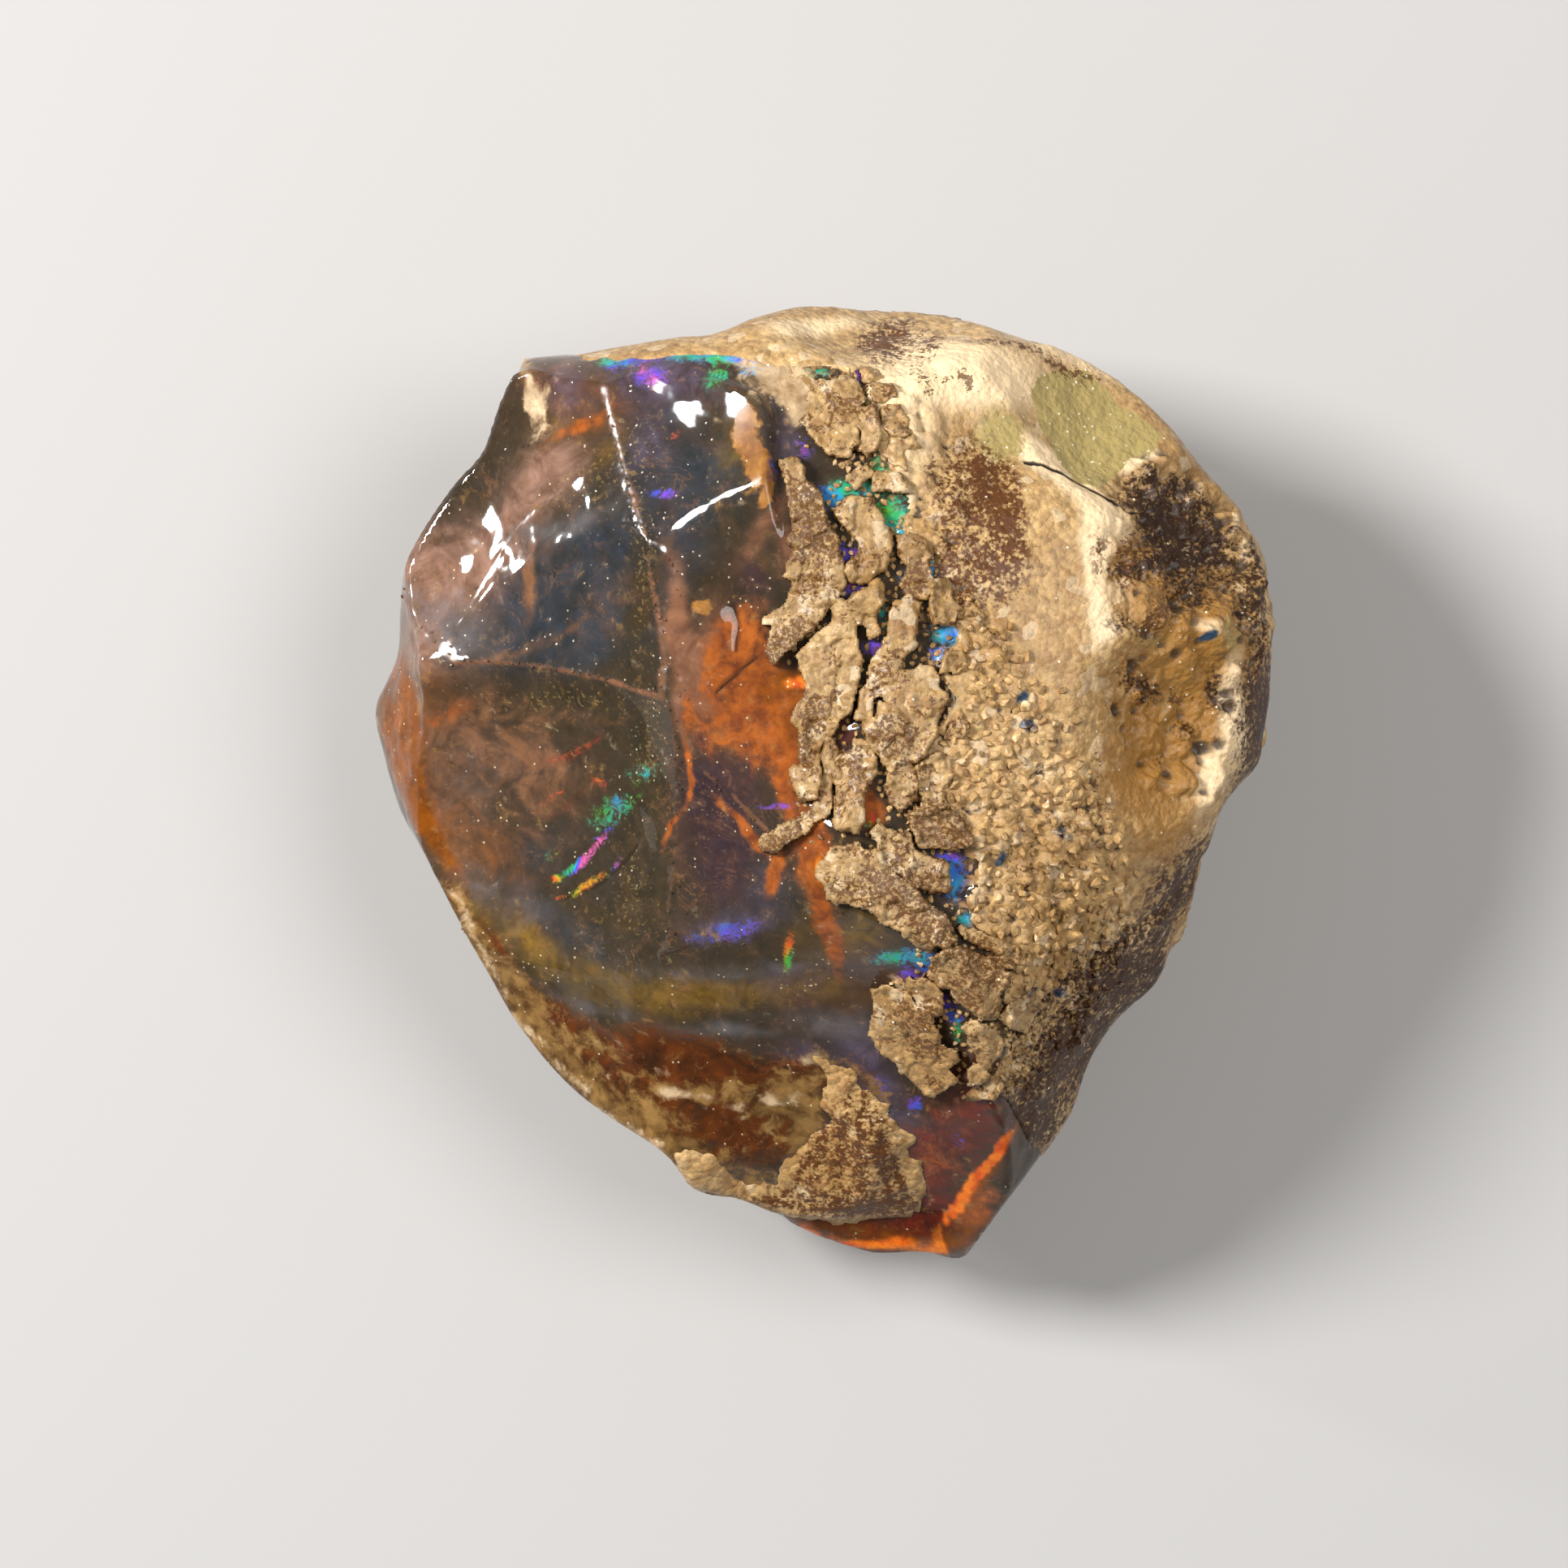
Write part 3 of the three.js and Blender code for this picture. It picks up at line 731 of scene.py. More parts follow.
# How each of the marks' colours looks: its two shades, how much the wisps in it tear its edge,
# how soft the edge is, and how clear the opal stays there.
OPAL_COLOURS = {
    "slate_glass": ("#4c5a68", "#3e474c", 0.30, 0.50, 0.70),
    "olive_glass": ("#54472a", "#3a3526", 0.35, 0.50, 0.60),
    "olive_gold": ("#94701c", "#624a12", 0.30, 0.52, 0.35),
    "amber_brown": ("#9a5c26", "#66401e", 0.50, 0.50, 0.42),
    "iron_cloud": ("#a2704c", "#5a4432", 0.90, 0.44, 0.50),
    "dusty_rose": ("#b88c76", "#8a624a", 0.60, 0.50, 0.42),
    "rosy_tan": ("#b07a58", "#8a5a40", 0.40, 0.42, 0.45),
    "dark_plum": ("#74524a", "#58424c", 0.40, 0.40, 0.72),
    "milky_haze": ("#8b8688", "#6c645c", 0.20, 0.55, 0.55),
    "violet_smoke": ("#7c7088", "#5e505c", 0.30, 0.50, 0.60),
    "deep_red": ("#802810", "#4a160c", 0.60, 0.40, 0.30),
    "rusty_crust": ("#66320c", "#3c1e08", 0.90, 0.34, 0.15),
    "hot_orange": ("#c66a2a", "#844424", 0.80, 0.26, 0.35),
    # Amber glow is amber opal with painted glow.
    "amber_and_painted_glow": ("#8c4a02", "#6a3602", 0.60, 0.42, 0.15),
    # Ember is painted glow.
    "painted_ember_glow": ("#ff8c1e", "#dc5204", 0.50, 0.22, 0.10),
    "gold_plate": ("#aa7638", "#7e4e24", 1.50, 0.14, 0.10),
    "tan_mottle": ("#94703e", "#543816", 2.40, 0.26, 0.10),
    "crust_film": ("#ccb08a", "#8e7250", 1.80, 0.24, 0.0),
}

SKIN_FREQUENCY = 98  # parts of each edge of the 20-sided ball, for 192,080 triangles a piece
CROWDING = 0.6  # below 1 the triangles gather on the side with the most detail
RESTING_GAP = 0.25  # the opal's lowest point over the floor, which the rock rests on

ball, opal_faces = geodesic(SKIN_FREQUENCY)
ball = crowded(ball, (-0.45, -0.1, 0.85), CROWDING)
ways, opal, rock, edge, ridge = stone_skin(ball)
# Where the rock covers the opal, the opal's skin lies 0.4 to 1.6 mm deep in it.
bare = smooth(edge, -0.35, 0.0)
buried = rock - 0.4 - 1.2 * smooth(-edge, 0.5, 2.5)
reach = opal * bare + buried * (1 - bare)
place = HEART + ways * opal[:, None]
# Over the opal run fine ripples, chipped ridges that stand up and cracks that are sunk in.
wander = strayed(place, 0.12, 260)
cracks = drawn(wander, OPAL_CRACKS)
lines = drawn(wander, OPAL_RIDGES)
lines = np.maximum(lines * smooth(lumps(place, 0.9, 17, 2), -0.7, 0.2), ridge * 0.8)
lines = lines * (0.85 + 0.45 * lumps(place, 2.0, 18, 3))
lines = lines * smooth(place[:, 2], 12, 14) * bare
ripple = 0.03 * lumps(place, 2.5, 11) + 0.012 * lumps(place, 0.8, 12)
chips = pebbles(place, 0.6, 15)[0]
ripple = ripple + lines * (0.22 * (chips - 0.55)) + 0.04 * lines - 0.12 * cracks
opal_points = HEART + ways * (reach + ripple * bare)[:, None]
opal_points[:, 2] = np.maximum(opal_points[:, 2], RESTING_GAP)

# The marks of the face fade out below the stone's widest line.
above_belt = place[:, 2] - belt_height(np.arctan2(place[:, 1], place[:, 0]))
on_top = smooth(above_belt + 2.5 * lumps(place, 5.0, 19, 3), -4.5, -0.5)
shades = {}
for turn, (name, spots) in enumerate(OPAL_MARKS.items()):
    # The ember marks are painted glow lines.
    torn = 0.3 if name == "painted_ember_glow" else 0.7  # the embers are too thin to be torn much
    shades[name] = marks(strayed(place, torn, 200 + 10 * turn), spots) * on_top
# Round the sides the same colours drift in clouds, with a thin rind at the bottom.
for turn, name in enumerate(("amber_brown", "rusty_crust", "deep_red", "slate_glass")):
    clouds = smooth(lumps(place, 7.0, 500 + 10 * turn, 4), 0.05, 0.45)
    shades[name] = np.maximum(shades[name], 0.9 * clouds * (1 - on_top))
rind = smooth(place[:, 2] + 2 * lumps(place, 3.0, 540, 3), 8.5, 6.0)
shades["tan_mottle"] = np.maximum(shades["tan_mottle"], 0.9 * rind)
shades["ridge"] = lines
shades["crack"] = cracks
# Close to the crust, crumbled rock may lie on the opal.
shades["gap"] = smooth(place[:, 0], -3.5, -1.5) * smooth(place[:, 2], 20, 23) * smooth(edge, 2.6, 0.4)
# The play of colour has the hue of whichever of its spots are strongest at a point.
flat = strayed(place, 0.35, 300)
sparks = [mark(flat, *spot[:6]) for spot in FIRE_MARKS]
shades["fire"] = (1 - np.prod([1 - spark for spark in sparks], axis=0)) * on_top
shades["hue"] = (sum(spark**3 * spot[6] for spark, spot in zip(sparks, FIRE_MARKS))
                 / (sum(spark**3 for spark in sparks) + 1e-9))

# The opal's patterns: how wide their patches are in millimetres, detail, roughness, distortion.
OPAL_PATTERNS = {
    "smoke": (4.3, 7, 0.62, 1.8),
    "shred": (0.8, 4, 0.65, 0.8),
    "thread": (3.0, 6, 0.55, 2.4),
    "flake": (0.65, 3, 0.55, 2.0),
    "drift": (1.4, 1, 0.5, 0.0),
    "dust": (0.25, 2, 0.6, 0.0),
    "hackle": (3.0, 2, 0.4, 0.0),
}
OPAL_EDGE = 0.42  # a colour ends where its mark has faded to this
RAINBOW = ["#d83a30", "#e87a20", "#c8c030", "#40b038", "#1cb890", "#28a4d8", "#3458d8", "#7848dc",
           "#d860a4"]

# Clear amber opal: a gel stone that breaks like glass, so it has a bright wet reflection and
# lets light deep in. Its haze, iron clouds and play of colour are patches of its body colour.
clear_amber_opal, tree, shader = node_material("clear_amber_opal")
coords = add(tree, "ShaderNodeTexCoord").outputs["Object"]
mask = {name: add(tree, "ShaderNodeAttribute", attribute_name=name).outputs["Fac"]
        for name in shades}
noise = {}
for name, (wide, detail, coarse, twist) in OPAL_PATTERNS.items():
    noise[name] = add(tree, "ShaderNodeTexNoise", {
        "Vector": coords, "Scale": fineness(wide), "Detail": detail, "Roughness": coarse,
        "Distortion": twist,
    }).outputs["Fac"]
smoky = add(tree, "ShaderNodeMapRange", {
    "Value": noise["smoke"], "From Min": 0.35, "From Max": 0.65,
}).outputs[0]
colour = add(tree, "ShaderNodeMix", {0: smoky, 6: linear("#5e5038"), 7: linear("#463e2e")},
             data_type="RGBA").outputs[2]
clear = add(tree, "ShaderNodeMapRange", {
    "Value": noise["shred"], "To Min": 0.74, "To Max": 0.64,
}).outputs[0]
for turn, (name, (light, dark, tear, soft, clearness)) in enumerate(OPAL_COLOURS.items()):
    # Colours with a soft edge drift in wide wisps, and crisp ones are torn by small ones.
    wide, twist = (3.3, 2.2) if soft > 0.3 else (1.1, 0.4)
    wisp = add(tree, "ShaderNodeTexNoise", {
        "Vector": coords, "W": 1.7 * turn, "Scale": fineness(wide), "Detail": 6,
        "Roughness": 0.6, "Distortion": twist,
    }, noise_dimensions="4D").outputs["Fac"]
    ragged = add(tree, "ShaderNodeMath", {0: wisp, 1: tear, 2: mask[name]},
                 operation="MULTIPLY_ADD").outputs[0]
    middle = tear * 0.5 + OPAL_EDGE
    share = add(tree, "ShaderNodeMapRange", {
        "Value": ragged, "From Min": middle - soft, "From Max": middle + soft,
    }, interpolation_type="SMOOTHSTEP").outputs[0]
    tone = add(tree, "ShaderNodeMapRange", {"Value": wisp, "From Min": 0.38, "From Max": 0.62})
    tone = add(tree, "ShaderNodeMix", {0: tone.outputs[0], 6: linear(dark), 7: linear(light)},
               data_type="RGBA").outputs[2]
    colour = add(tree, "ShaderNodeMix", {0: share, 6: colour, 7: tone}, data_type="RGBA").outputs[2]
    clear = add(tree, "ShaderNodeMix", {0: share, 2: clear, 3: clearness}).outputs[0]

# Brown wisps and threads drift in the glass, and each colour is lighter and darker in clouds.
thread = add(tree, "ShaderNodeMath", {0: noise["thread"], 1: 0.5}, operation="SUBTRACT").outputs[0]
thread = add(tree, "ShaderNodeMath", {0: thread}, operation="ABSOLUTE").outputs[0]
thread = add(tree, "ShaderNodeMapRange", {"Value": thread, "From Min": 0.022, "From Max": 0.0})
where = add(tree, "ShaderNodeMapRange", {
    "Value": noise["smoke"], "From Min": 0.46, "From Max": 0.62, "To Max": 0.45,
})
thread = add(tree, "ShaderNodeMath", {0: thread.outputs[0], 1: where.outputs[0]},
             operation="MULTIPLY").outputs[0]
colour = add(tree, "ShaderNodeMix", {0: thread, 6: colour, 7: linear("#b07848")},
             data_type="RGBA").outputs[2]
clear = add(tree, "ShaderNodeMix", {0: thread, 2: clear, 3: 0.45}).outputs[0]
mottle = add(tree, "ShaderNodeMapRange", {
    "Value": noise["shred"], "From Min": 0.3, "From Max": 0.7, "To Min": 0.9, "To Max": 1.08,
}).outputs[0]
cloudy = add(tree, "ShaderNodeMapRange", {
    "Value": noise["smoke"], "From Min": 0.3, "From Max": 0.7, "To Min": 0.72, "To Max": 1.06,
}).outputs[0]
mottle = add(tree, "ShaderNodeMath", {0: mottle, 1: cloudy}, operation="MULTIPLY").outputs[0]
colour = add(tree, "ShaderNodeVectorMath", {0: colour, 1: mottle}, operation="MULTIPLY").outputs[0]

# In the gaps between the plates there is crumbled brown rock over the opal.
crumbled = add(tree, "ShaderNodeMath", {0: noise["shred"], 1: 1.6, 2: mask["gap"]},
               operation="MULTIPLY_ADD").outputs[0]
crumbled = add(tree, "ShaderNodeMapRange", {
    "Value": crumbled, "From Min": 1.74, "From Max": 1.92,
}, interpolation_type="SMOOTHSTEP").outputs[0]

# The play of colour comes in flakes under a millimetre wide, each of one pure colour.
lit = add(tree, "ShaderNodeMath", {0: noise["flake"], 1: 1.8, 2: mask["fire"]},
          operation="MULTIPLY_ADD").outputs[0]
lit = add(tree, "ShaderNodeMapRange", {
    "Value": lit, "From Min": 1.15, "From Max": 1.95, "To Max": 0.85,
}, interpolation_type="SMOOTHSTEP").outputs[0]
inside = add(tree, "ShaderNodeMapRange", {"Value": mask["fire"], "From Min": 0.12, "From Max": 0.35})
lit = add(tree, "ShaderNodeMath", {0: lit, 1: inside.outputs[0]}, operation="MULTIPLY").outputs[0]
hue = add(tree, "ShaderNodeMath", {0: noise["drift"], 1: 0.5, 2: mask["hue"]},
          operation="MULTIPLY_ADD").outputs[0]
hue = add(tree, "ShaderNodeMath", {0: hue, 1: 0.25}, operation="SUBTRACT").outputs[0]
rainbow = add(tree, "ShaderNodeValToRGB", {"Fac": hue})
stops = rainbow.color_ramp.elements
stops[0].color = linear(RAINBOW[0])
stops[1].color = linear(RAINBOW[-1])
for turn, code in enumerate(RAINBOW[1:-1], 1):
    stops.new(turn / (len(RAINBOW) - 1)).color = linear(code)

# The ridges are chipped to a thin pinkish line, gold dust lies beside them, and tiny chips and
# bubbles are painted pale all over as glints: painted highlights.
chipped = add(tree, "ShaderNodeMath", {0: noise["shred"], 1: 0.9, 2: mask["ridge"]},
              operation="MULTIPLY_ADD").outputs[0]
chipped = add(tree, "ShaderNodeMapRange", {
    "Value": chipped, "From Min": 0.72, "From Max": 1.15,
}).outputs[0]
pinkish = add(tree, "ShaderNodeMix", {0: smoky, 6: linear("#9a684c"), 7: linear("#6c4a30")},
              data_type="RGBA").outputs[2]
dust = add(tree, "ShaderNodeMath", {0: mask["gold_dust"], 1: 0.16, 2: noise["dust"]},
           operation="MULTIPLY_ADD").outputs[0]
dust = add(tree, "ShaderNodeMapRange", {
    "Value": dust, "From Min": 0.69, "From Max": 0.77, "To Max": 0.4,
}).outputs[0]
# The chips are pale specks, painted bright as glints: painted highlights.
specks = add(tree, "ShaderNodeTexVoronoi", {"Vector": coords, "Scale": fineness(0.35)})
chip_painted_glint = add(tree, "ShaderNodeMapRange", {
    "Value": specks.outputs["Distance"], "From Min": 0.24, "From Max": 0.1, "To Max": 0.7,
}).outputs[0]
few = add(tree, "ShaderNodeSeparateColor", {"Color": specks.outputs["Color"]}).outputs[0]
few = add(tree, "ShaderNodeMath", {0: mask["painted_sparkle"], 1: 0.5, 2: few},
          operation="MULTIPLY_ADD").outputs[0]
few = add(tree, "ShaderNodeMath", {0: few, 1: 0.94}, operation="GREATER_THAN").outputs[0]
chip_painted_glint = add(tree, "ShaderNodeMath", {0: chip_painted_glint, 1: few}, operation="MULTIPLY").outputs[0]

# These lie over each other in this order, each with its colour and how clear the opal stays.
for share, over, clearness in (
    (crumbled, linear("#8d6c44"), 0.0),
    (lit, rainbow.outputs["Color"], 0.15),
    (chipped, pinkish, 0.35),
    (mask["crack"], linear("#2c2018"), None),
    (dust, linear("#a58a54"), 0.2),
    (chip_painted_glint, linear("#e6d8b8"), 0.1),
):
    colour = add(tree, "ShaderNodeMix", {0: share, 6: colour, 7: over}, data_type="RGBA").outputs[2]
    if clearness is not None:
        clear = add(tree, "ShaderNodeMix", {0: share, 2: clear, 3: clearness}).outputs[0]

# The chips stand out a little from gentle waves. The opal is dull along its ridges and where it
# is least clear, and light that goes deep into it turns amber.
hackle = add(tree, "ShaderNodeMath", {0: chip_painted_glint, 1: 0.5, 2: noise["hackle"]},
             operation="MULTIPLY_ADD").outputs[0]
bump = add(tree, "ShaderNodeBump", {"Height": hackle, "Strength": 0.15, "Distance": 0.4 * MM})
chalky = add(tree, "ShaderNodeMapRange", {
    "Value": clear, "From Max": 0.3, "To Min": 0.4, "To Max": 0.05,
}).outputs[0]
rough = add(tree, "ShaderNodeMath", {0: mask["ridge"], 1: 0.35, 2: chalky},
            operation="MULTIPLY_ADD").outputs[0]
absorb = add(tree, "ShaderNodeVolumeAbsorption", {"Color": linear("#f0c060"), "Density": 160})
plug(tree, tree.nodes["Material Output"], {"Volume": absorb.outputs["Volume"]})
plug(tree, shader, {
    "Base Color": colour, "Transmission Weight": clear, "Roughness": rough,
    "Normal": bump.outputs["Normal"], "IOR": 1.44, "Specular IOR Level": 0.35,
})

opal_body = mesh_object("opal", opal_points, opal_faces, clear_amber_opal, shades)
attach(opal_body, "root")
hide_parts("rough_opal")


# The host rock: weathered rhyolite, cream to tan, that the opal grew in. Its crust is loose
# and flaky beside the opal, granular like popcorn beyond, and smooth and stained at the rim.

# Where each colour lies on the rock's face, as spots like the opal's marks.
ROCK_MARKS = {
    "brown_stain": [
        (1205, 600, 50, 34, -60, .9), (1232, 655, 54, 24, -78, .95), (1185, 690, 45, 40, 0, .7),
        (1160, 725, 40, 26, 0, .5), (1085, 430, 34, 28, 70, .8), (1110, 410, 26, 12, 30, .6),
        (1140, 440, 30, 16, 60, .5), (1345, 690, 20, 26, 0, .4), (1350, 600, 14, 14, 0, .2),
        (1220, 432, 60, 7, -10, .5), (1300, 460, 60, 7, -30, .4), (1330, 1010, 60, 50, 0, .25),
        (1160, 760, 40, 30, 0, .45), (1225, 730, 26, 40, 0, .5), (1170, 620, 36, 40, 0, .5),
        (1060, 1485, 80, 16, 0, .9), (960, 1480, 50, 16, -8, .6), (1010, 1410, 46, 7, 74, .8),
        (1036, 1395, 60, 6, 82, .85), (1060, 1410, 70, 7, 90, .9), (1086, 1430, 60, 7, 98, .9),
        (1108, 1452, 46, 6, 106, .8), (985, 1440, 30, 7, 70, .7), (1050, 1420, 70, 70, 0, .4),
    ],
    "olive_glaze": [
        (1225, 548, 32, 36, 0, 1), (1500, 790, 30, 30, 0, .6), (1430, 860, 50, 60, 0, .35),
        (1400, 790, 40, 16, 0, .4), (1270, 470, 20, 14, 0, .3),
    ],
    "dark_hollow": [
        (1425, 640, 50, 30, -40, .9), (1405, 594, 18, 10, 0, .9), (1440, 700, 40, 30, 0, .6),
        (1445, 600, 24, 14, 0, .8), (1436, 655, 50, 46, 0, .8),
        (1480, 670, 50, 30, -50, .8), (1400, 706, 50, 12, 12, .8), (1530, 750, 30, 50, 0, .6),
        (1450, 740, 40, 26, 0, .6), (1300, 905, 20, 16, 0, .2), (1490, 850, 14, 30, 0, .7),
        (1395, 850, 30, 22, 0, .6), (1445, 900, 18, 14, 0, .6), (1370, 780, 26, 20, 0, .5),
        (1420, 940, 14, 12, 0, .5),
    ],
    # The umber marks are painted shade: they darken the lower right flank and the far right side.
    "umber_painted_shade": [
        (1365, 1205, 70, 50, 40, .9), (1440, 1110, 60, 36, 60, .8), (1300, 1290, 60, 40, 40, .8),
        (1250, 1370, 50, 40, 40, .8), (1550, 890, 36, 90, 0, 1), (1530, 985, 30, 40, 0, .7),
        (1420, 1190, 80, 30, 50, .7), (1340, 1300, 80, 30, 45, .7),
        (1480, 1090, 40, 30, 60, .6), (1270, 1390, 60, 40, 45, .8), (1480, 1050, 30, 30, 40, .6),
        (1540, 720, 20, 60, 0, .7),
    ],
    "ochre": [
        (1430, 690, 110, 90, -50, .7), (1430, 870, 80, 90, 0, .9), (1400, 960, 60, 60, 0, .7),
        (1480, 800, 60, 60, 0, .7), (1060, 480, 60, 30, 0, .4), (1150, 1060, 60, 60, 0, .25),
        (1305, 780, 40, 90, 0, .32), (1430, 1040, 40, 50, 0, .5),
        (1240, 1120, 60, 60, 0, .25), (1040, 1400, 90, 90, 0, .5),
    ],
    "cream": [
        (1180, 470, 120, 44, -10, 1), (1310, 440, 130, 20, -24, .7), (1000, 408, 70, 14, 4, .7),
        (1080, 500, 60, 30, 0, .6), (1268, 566, 30, 18, -40, 1), (1310, 602, 44, 16, -36, 1),
        (1350, 640, 44, 20, -40, 1),
        (1340, 690, 20, 56, 0, .95), (1345, 770, 16, 44, 0, .8), (1392, 575, 36, 10, 10, .8),
        (1455, 700, 10, 40, 0, .7), (1510, 880, 18, 80, 0, .95), (1480, 960, 14, 50, -20, .8),
        (1470, 780, 20, 10, -40, .6), (1120, 560, 40, 60, 0, .5),
    ],
    "pepper": [
        (1180, 480, 110, 50, -10, .42), (1110, 425, 50, 26, 20, .5), (1300, 450, 90, 16, -26, .45),
        (1382, 700, 30, 60, 0, .62), (1420, 770, 50, 24, 20, .62), (1450, 860, 50, 50, 0, .45),
        (1140, 600, 40, 60, 0, .45), (1210, 790, 40, 30, 0, .45), (1340, 960, 60, 60, 0, .42),
        (1215, 640, 30, 60, 0, .55), (1250, 1080, 60, 60, 0, .4), (1230, 1230, 40, 50, 0, .5),
    ],
    "blue_pit": [
        (1250, 860, 10, 9, 0, .8), (1262, 890, 8, 10, 0, .8), (1222, 1050, 8, 12, 0, .7),
        (1290, 1025, 9, 8, 0, .7), (1230, 930, 8, 7, 0, .5), (1470, 790, 8, 6, 0, 1),
        (1552, 905, 10, 18, 0, .6), (1300, 1225, 12, 8, 0, .6), (1350, 1200, 10, 8, 0, .5),
        (1265, 1210, 10, 9, 0, .6), (1225, 1400, 16, 12, 0, .5),
    ],
}
# Outlines of parts of the crust, then lines on it, as pixels: the olive glassy patch, where the
# crust is granular, where it is pitted, and where it is lumpy.
OLIVE_PATCH = [
    (1258, 497), (1276, 538), (1294, 576), (1317, 602), (1347, 610), (1370, 597), (1383, 574),
    (1414, 566), (1424, 543), (1399, 523), (1363, 495), (1335, 464), (1300, 462), (1271, 477),
]
POPCORN = [
    (1120, 700), (1200, 740), (1250, 830), (1300, 900), (1360, 1000), (1390, 1100), (1380, 1180),
    (1320, 1260), (1260, 1330), (1200, 1360), (1170, 1250), (1180, 1130), (1160, 900), (1120, 800),
]
PITTED = [
    (1370, 560), (1440, 560), (1530, 640), (1565, 760), (1540, 830), (1480, 1000), (1390, 960),
    (1350, 860), (1370, 760), (1350, 690),
]
LUMPY = [(1060, 470), (1180, 520), (1180, 620), (1190, 740), (1120, 740), (1090, 600)]
CRACK = [(1256, 579), (1279, 582), (1297, 592), (1327, 607), (1358, 625), (1388, 639)]
GROOVE = [(1500, 1040), (1450, 1100), (1390, 1150), (1310, 1205), (1250, 1260), (1200, 1330)]


def grain_domes(points, sizes, seed):
    """How high each point of a granular crust is over its bed, grains of each size together."""
    domes = np.zeros(len(points))
    for turn, size in enumerate(sizes):
        first, _, number = pebbles(points, size, seed + 10 * turn)
        dome = np.sqrt(np.maximum(1 - (first / 0.62) ** 2, 0)) * size * (0.2 + 0.35 * number)
        domes = np.maximum(domes, dome)
    return domes


ball, rock_faces = geodesic(SKIN_FREQUENCY)
ball = crowded(ball, (0.45, 0.0, 0.9), CROWDING)
ways, opal, rock, edge, _ = stone_skin(ball)
place = HEART + ways * rock[:, None]
flat = place[:, :2]
# The marks and grains fade out at the rim, which is lower at the foot of the face.
upper = smooth(place[:, 2] + 6 * smooth(-place[:, 1], 8, 14), 14, 19)
shades = {name: marks(strayed(place, 0.6, 400 + 10 * turn), spots) * upper
          for turn, (name, spots) in enumerate(ROCK_MARKS.items())}
glaze = smooth(within(flat, from_pixels(OLIVE_PATCH)) + 0.2 * lumps(place, 1.5, 31, 2), -0.1, 0.25)
shades["olive_glaze"] = np.maximum(shades["olive_glaze"], glaze * upper)
popcorn = smooth(within(flat, from_pixels(POPCORN)) + 0.8 * lumps(place, 3, 32, 2), -1.2, 1.0) * upper
lumpy = smooth(within(flat, from_pixels(LUMPY)), -1.0, 0.8) * upper
crack = smooth(near_line(flat, from_pixels(CRACK)) + 0.05 * lumps(place, 0.8, 33, 2), 0.16, 0.05)
groove = smooth(near_line(flat, from_pixels(GROOVE)) + 0.3 * lumps(place, 2, 34, 2), 0.8, 0.0)
domes = grain_domes(place, (1.3, 0.85, 0.55), 35)
pit_first, _, pit_number = pebbles(place, 1.7, 37)
pits = smooth(pit_first, 0.42, 0.15) * (pit_number > 0.35)
small_first, _, small_number = pebbles(place, 0.9, 49)
pits = np.maximum(pits, 0.7 * smooth(small_first, 0.45, 0.15) * (small_number > 0.55))
pitted = smooth(within(flat, from_pixels(PITTED)) + 0.6 * lumps(place, 2, 50, 2), -0.6, 0.8) * upper
hollow = np.maximum(shades["dark_hollow"], pitted)
# The face has grains, pits, a crack, a groove and a smooth cream skin; the underside is pitted
# a little and knapped in broad flat chips.
relief = 0.2 * lumps(place, 3.0, 38, 4)
relief = relief + np.maximum(popcorn, lumpy) * (domes - 0.3)
relief = relief - hollow * pits * 0.6 - crack * 0.18 - groove * upper * 0.5
relief = relief + pitted * 0.5 * (np.abs(lumps(place, 2.2, 51, 4)) * 3 - 0.6)
relief = relief + 0.25 * shades["cream"] * smooth(lumps(place, 2.0, 39, 2), -0.4, 0.6)
relief = relief - (1 - upper) * 0.25 * smooth(pit_first, 0.3, 0.1)
knapped = np.abs(lumps(place, 7.0, 48, 4)) * 2.6
relief = relief - (1 - upper) * np.minimum(knapped, 1.3)
# Between the grains and in the pits the rock is painted darker: painted shade.
between = smooth(domes, 0.16, 0.02)
shades["crevice"] = np.clip(np.maximum(popcorn, lumpy) * between + hollow * pits, 0, 1)
shades["hairline"] = crack
# The groove is darkened with the same painted shade.
shades["umber_painted_shade"] = np.maximum(shades["umber_painted_shade"], 0.8 * groove * upper)
# Under the opal the rock's skin lies deeper and deeper away from the opal's edge.
depth = 0.5 + 0.75 * np.maximum(edge, 0) + 0.4 * lumps(place, 3.0, 40, 2)
deep = np.maximum(opal - np.clip(depth, 0.4, 10.0), 0.3 * opal)
shows = smooth(edge, -0.05, 0.2)
reach = (rock + relief) * (1 - shows) + deep * shows
rock_points = HEART + ways * reach[:, None]
rock_points[:, 2] = np.maximum(rock_points[:, 2], 0)
shades["buried"] = shows
# Far in from the opal's edge, the rock under it is painted nearly black: painted shade.
shades["deep"] = smooth(edge, 1.0, 5.0)
shades["grains"] = popcorn * smooth(edge, -0.1, -0.5)

# How each of the rock's marks looks: its colour, how much the grit tears its edge, and how soft
# the edge is.
ROCK_COLOURS = {
    "ochre": ("#96692e", 1.4, 0.36),
    "cream": ("#e8cba0", 0.5, 0.34),
    "olive_glaze": ("#a08c56", 1.6, 0.24),
    # Umber is painted shade.
    "umber_painted_shade": ("#3a1e08", 4.0, 0.36),
    "brown_stain": ("#56300e", 5.0, 0.34),
    "dark_hollow": ("#321a06", 4.0, 0.36),
    # Crevices are painted shade.
    "crevice": ("#4a3826", 0.3, 0.40),
    "blue_pit": ("#20364a", 0.6, 0.20),
    "hairline": ("#2c1d12", 0.1, 0.30),
    "buried": ("#8d5a30", 0.1, 0.30),
    # The deep colour is painted shade.
    "deep": ("#120c0a", 0.1, 0.40),
}
ROCK_EDGE = 0.45  # a colour ends where its mark has faded to this
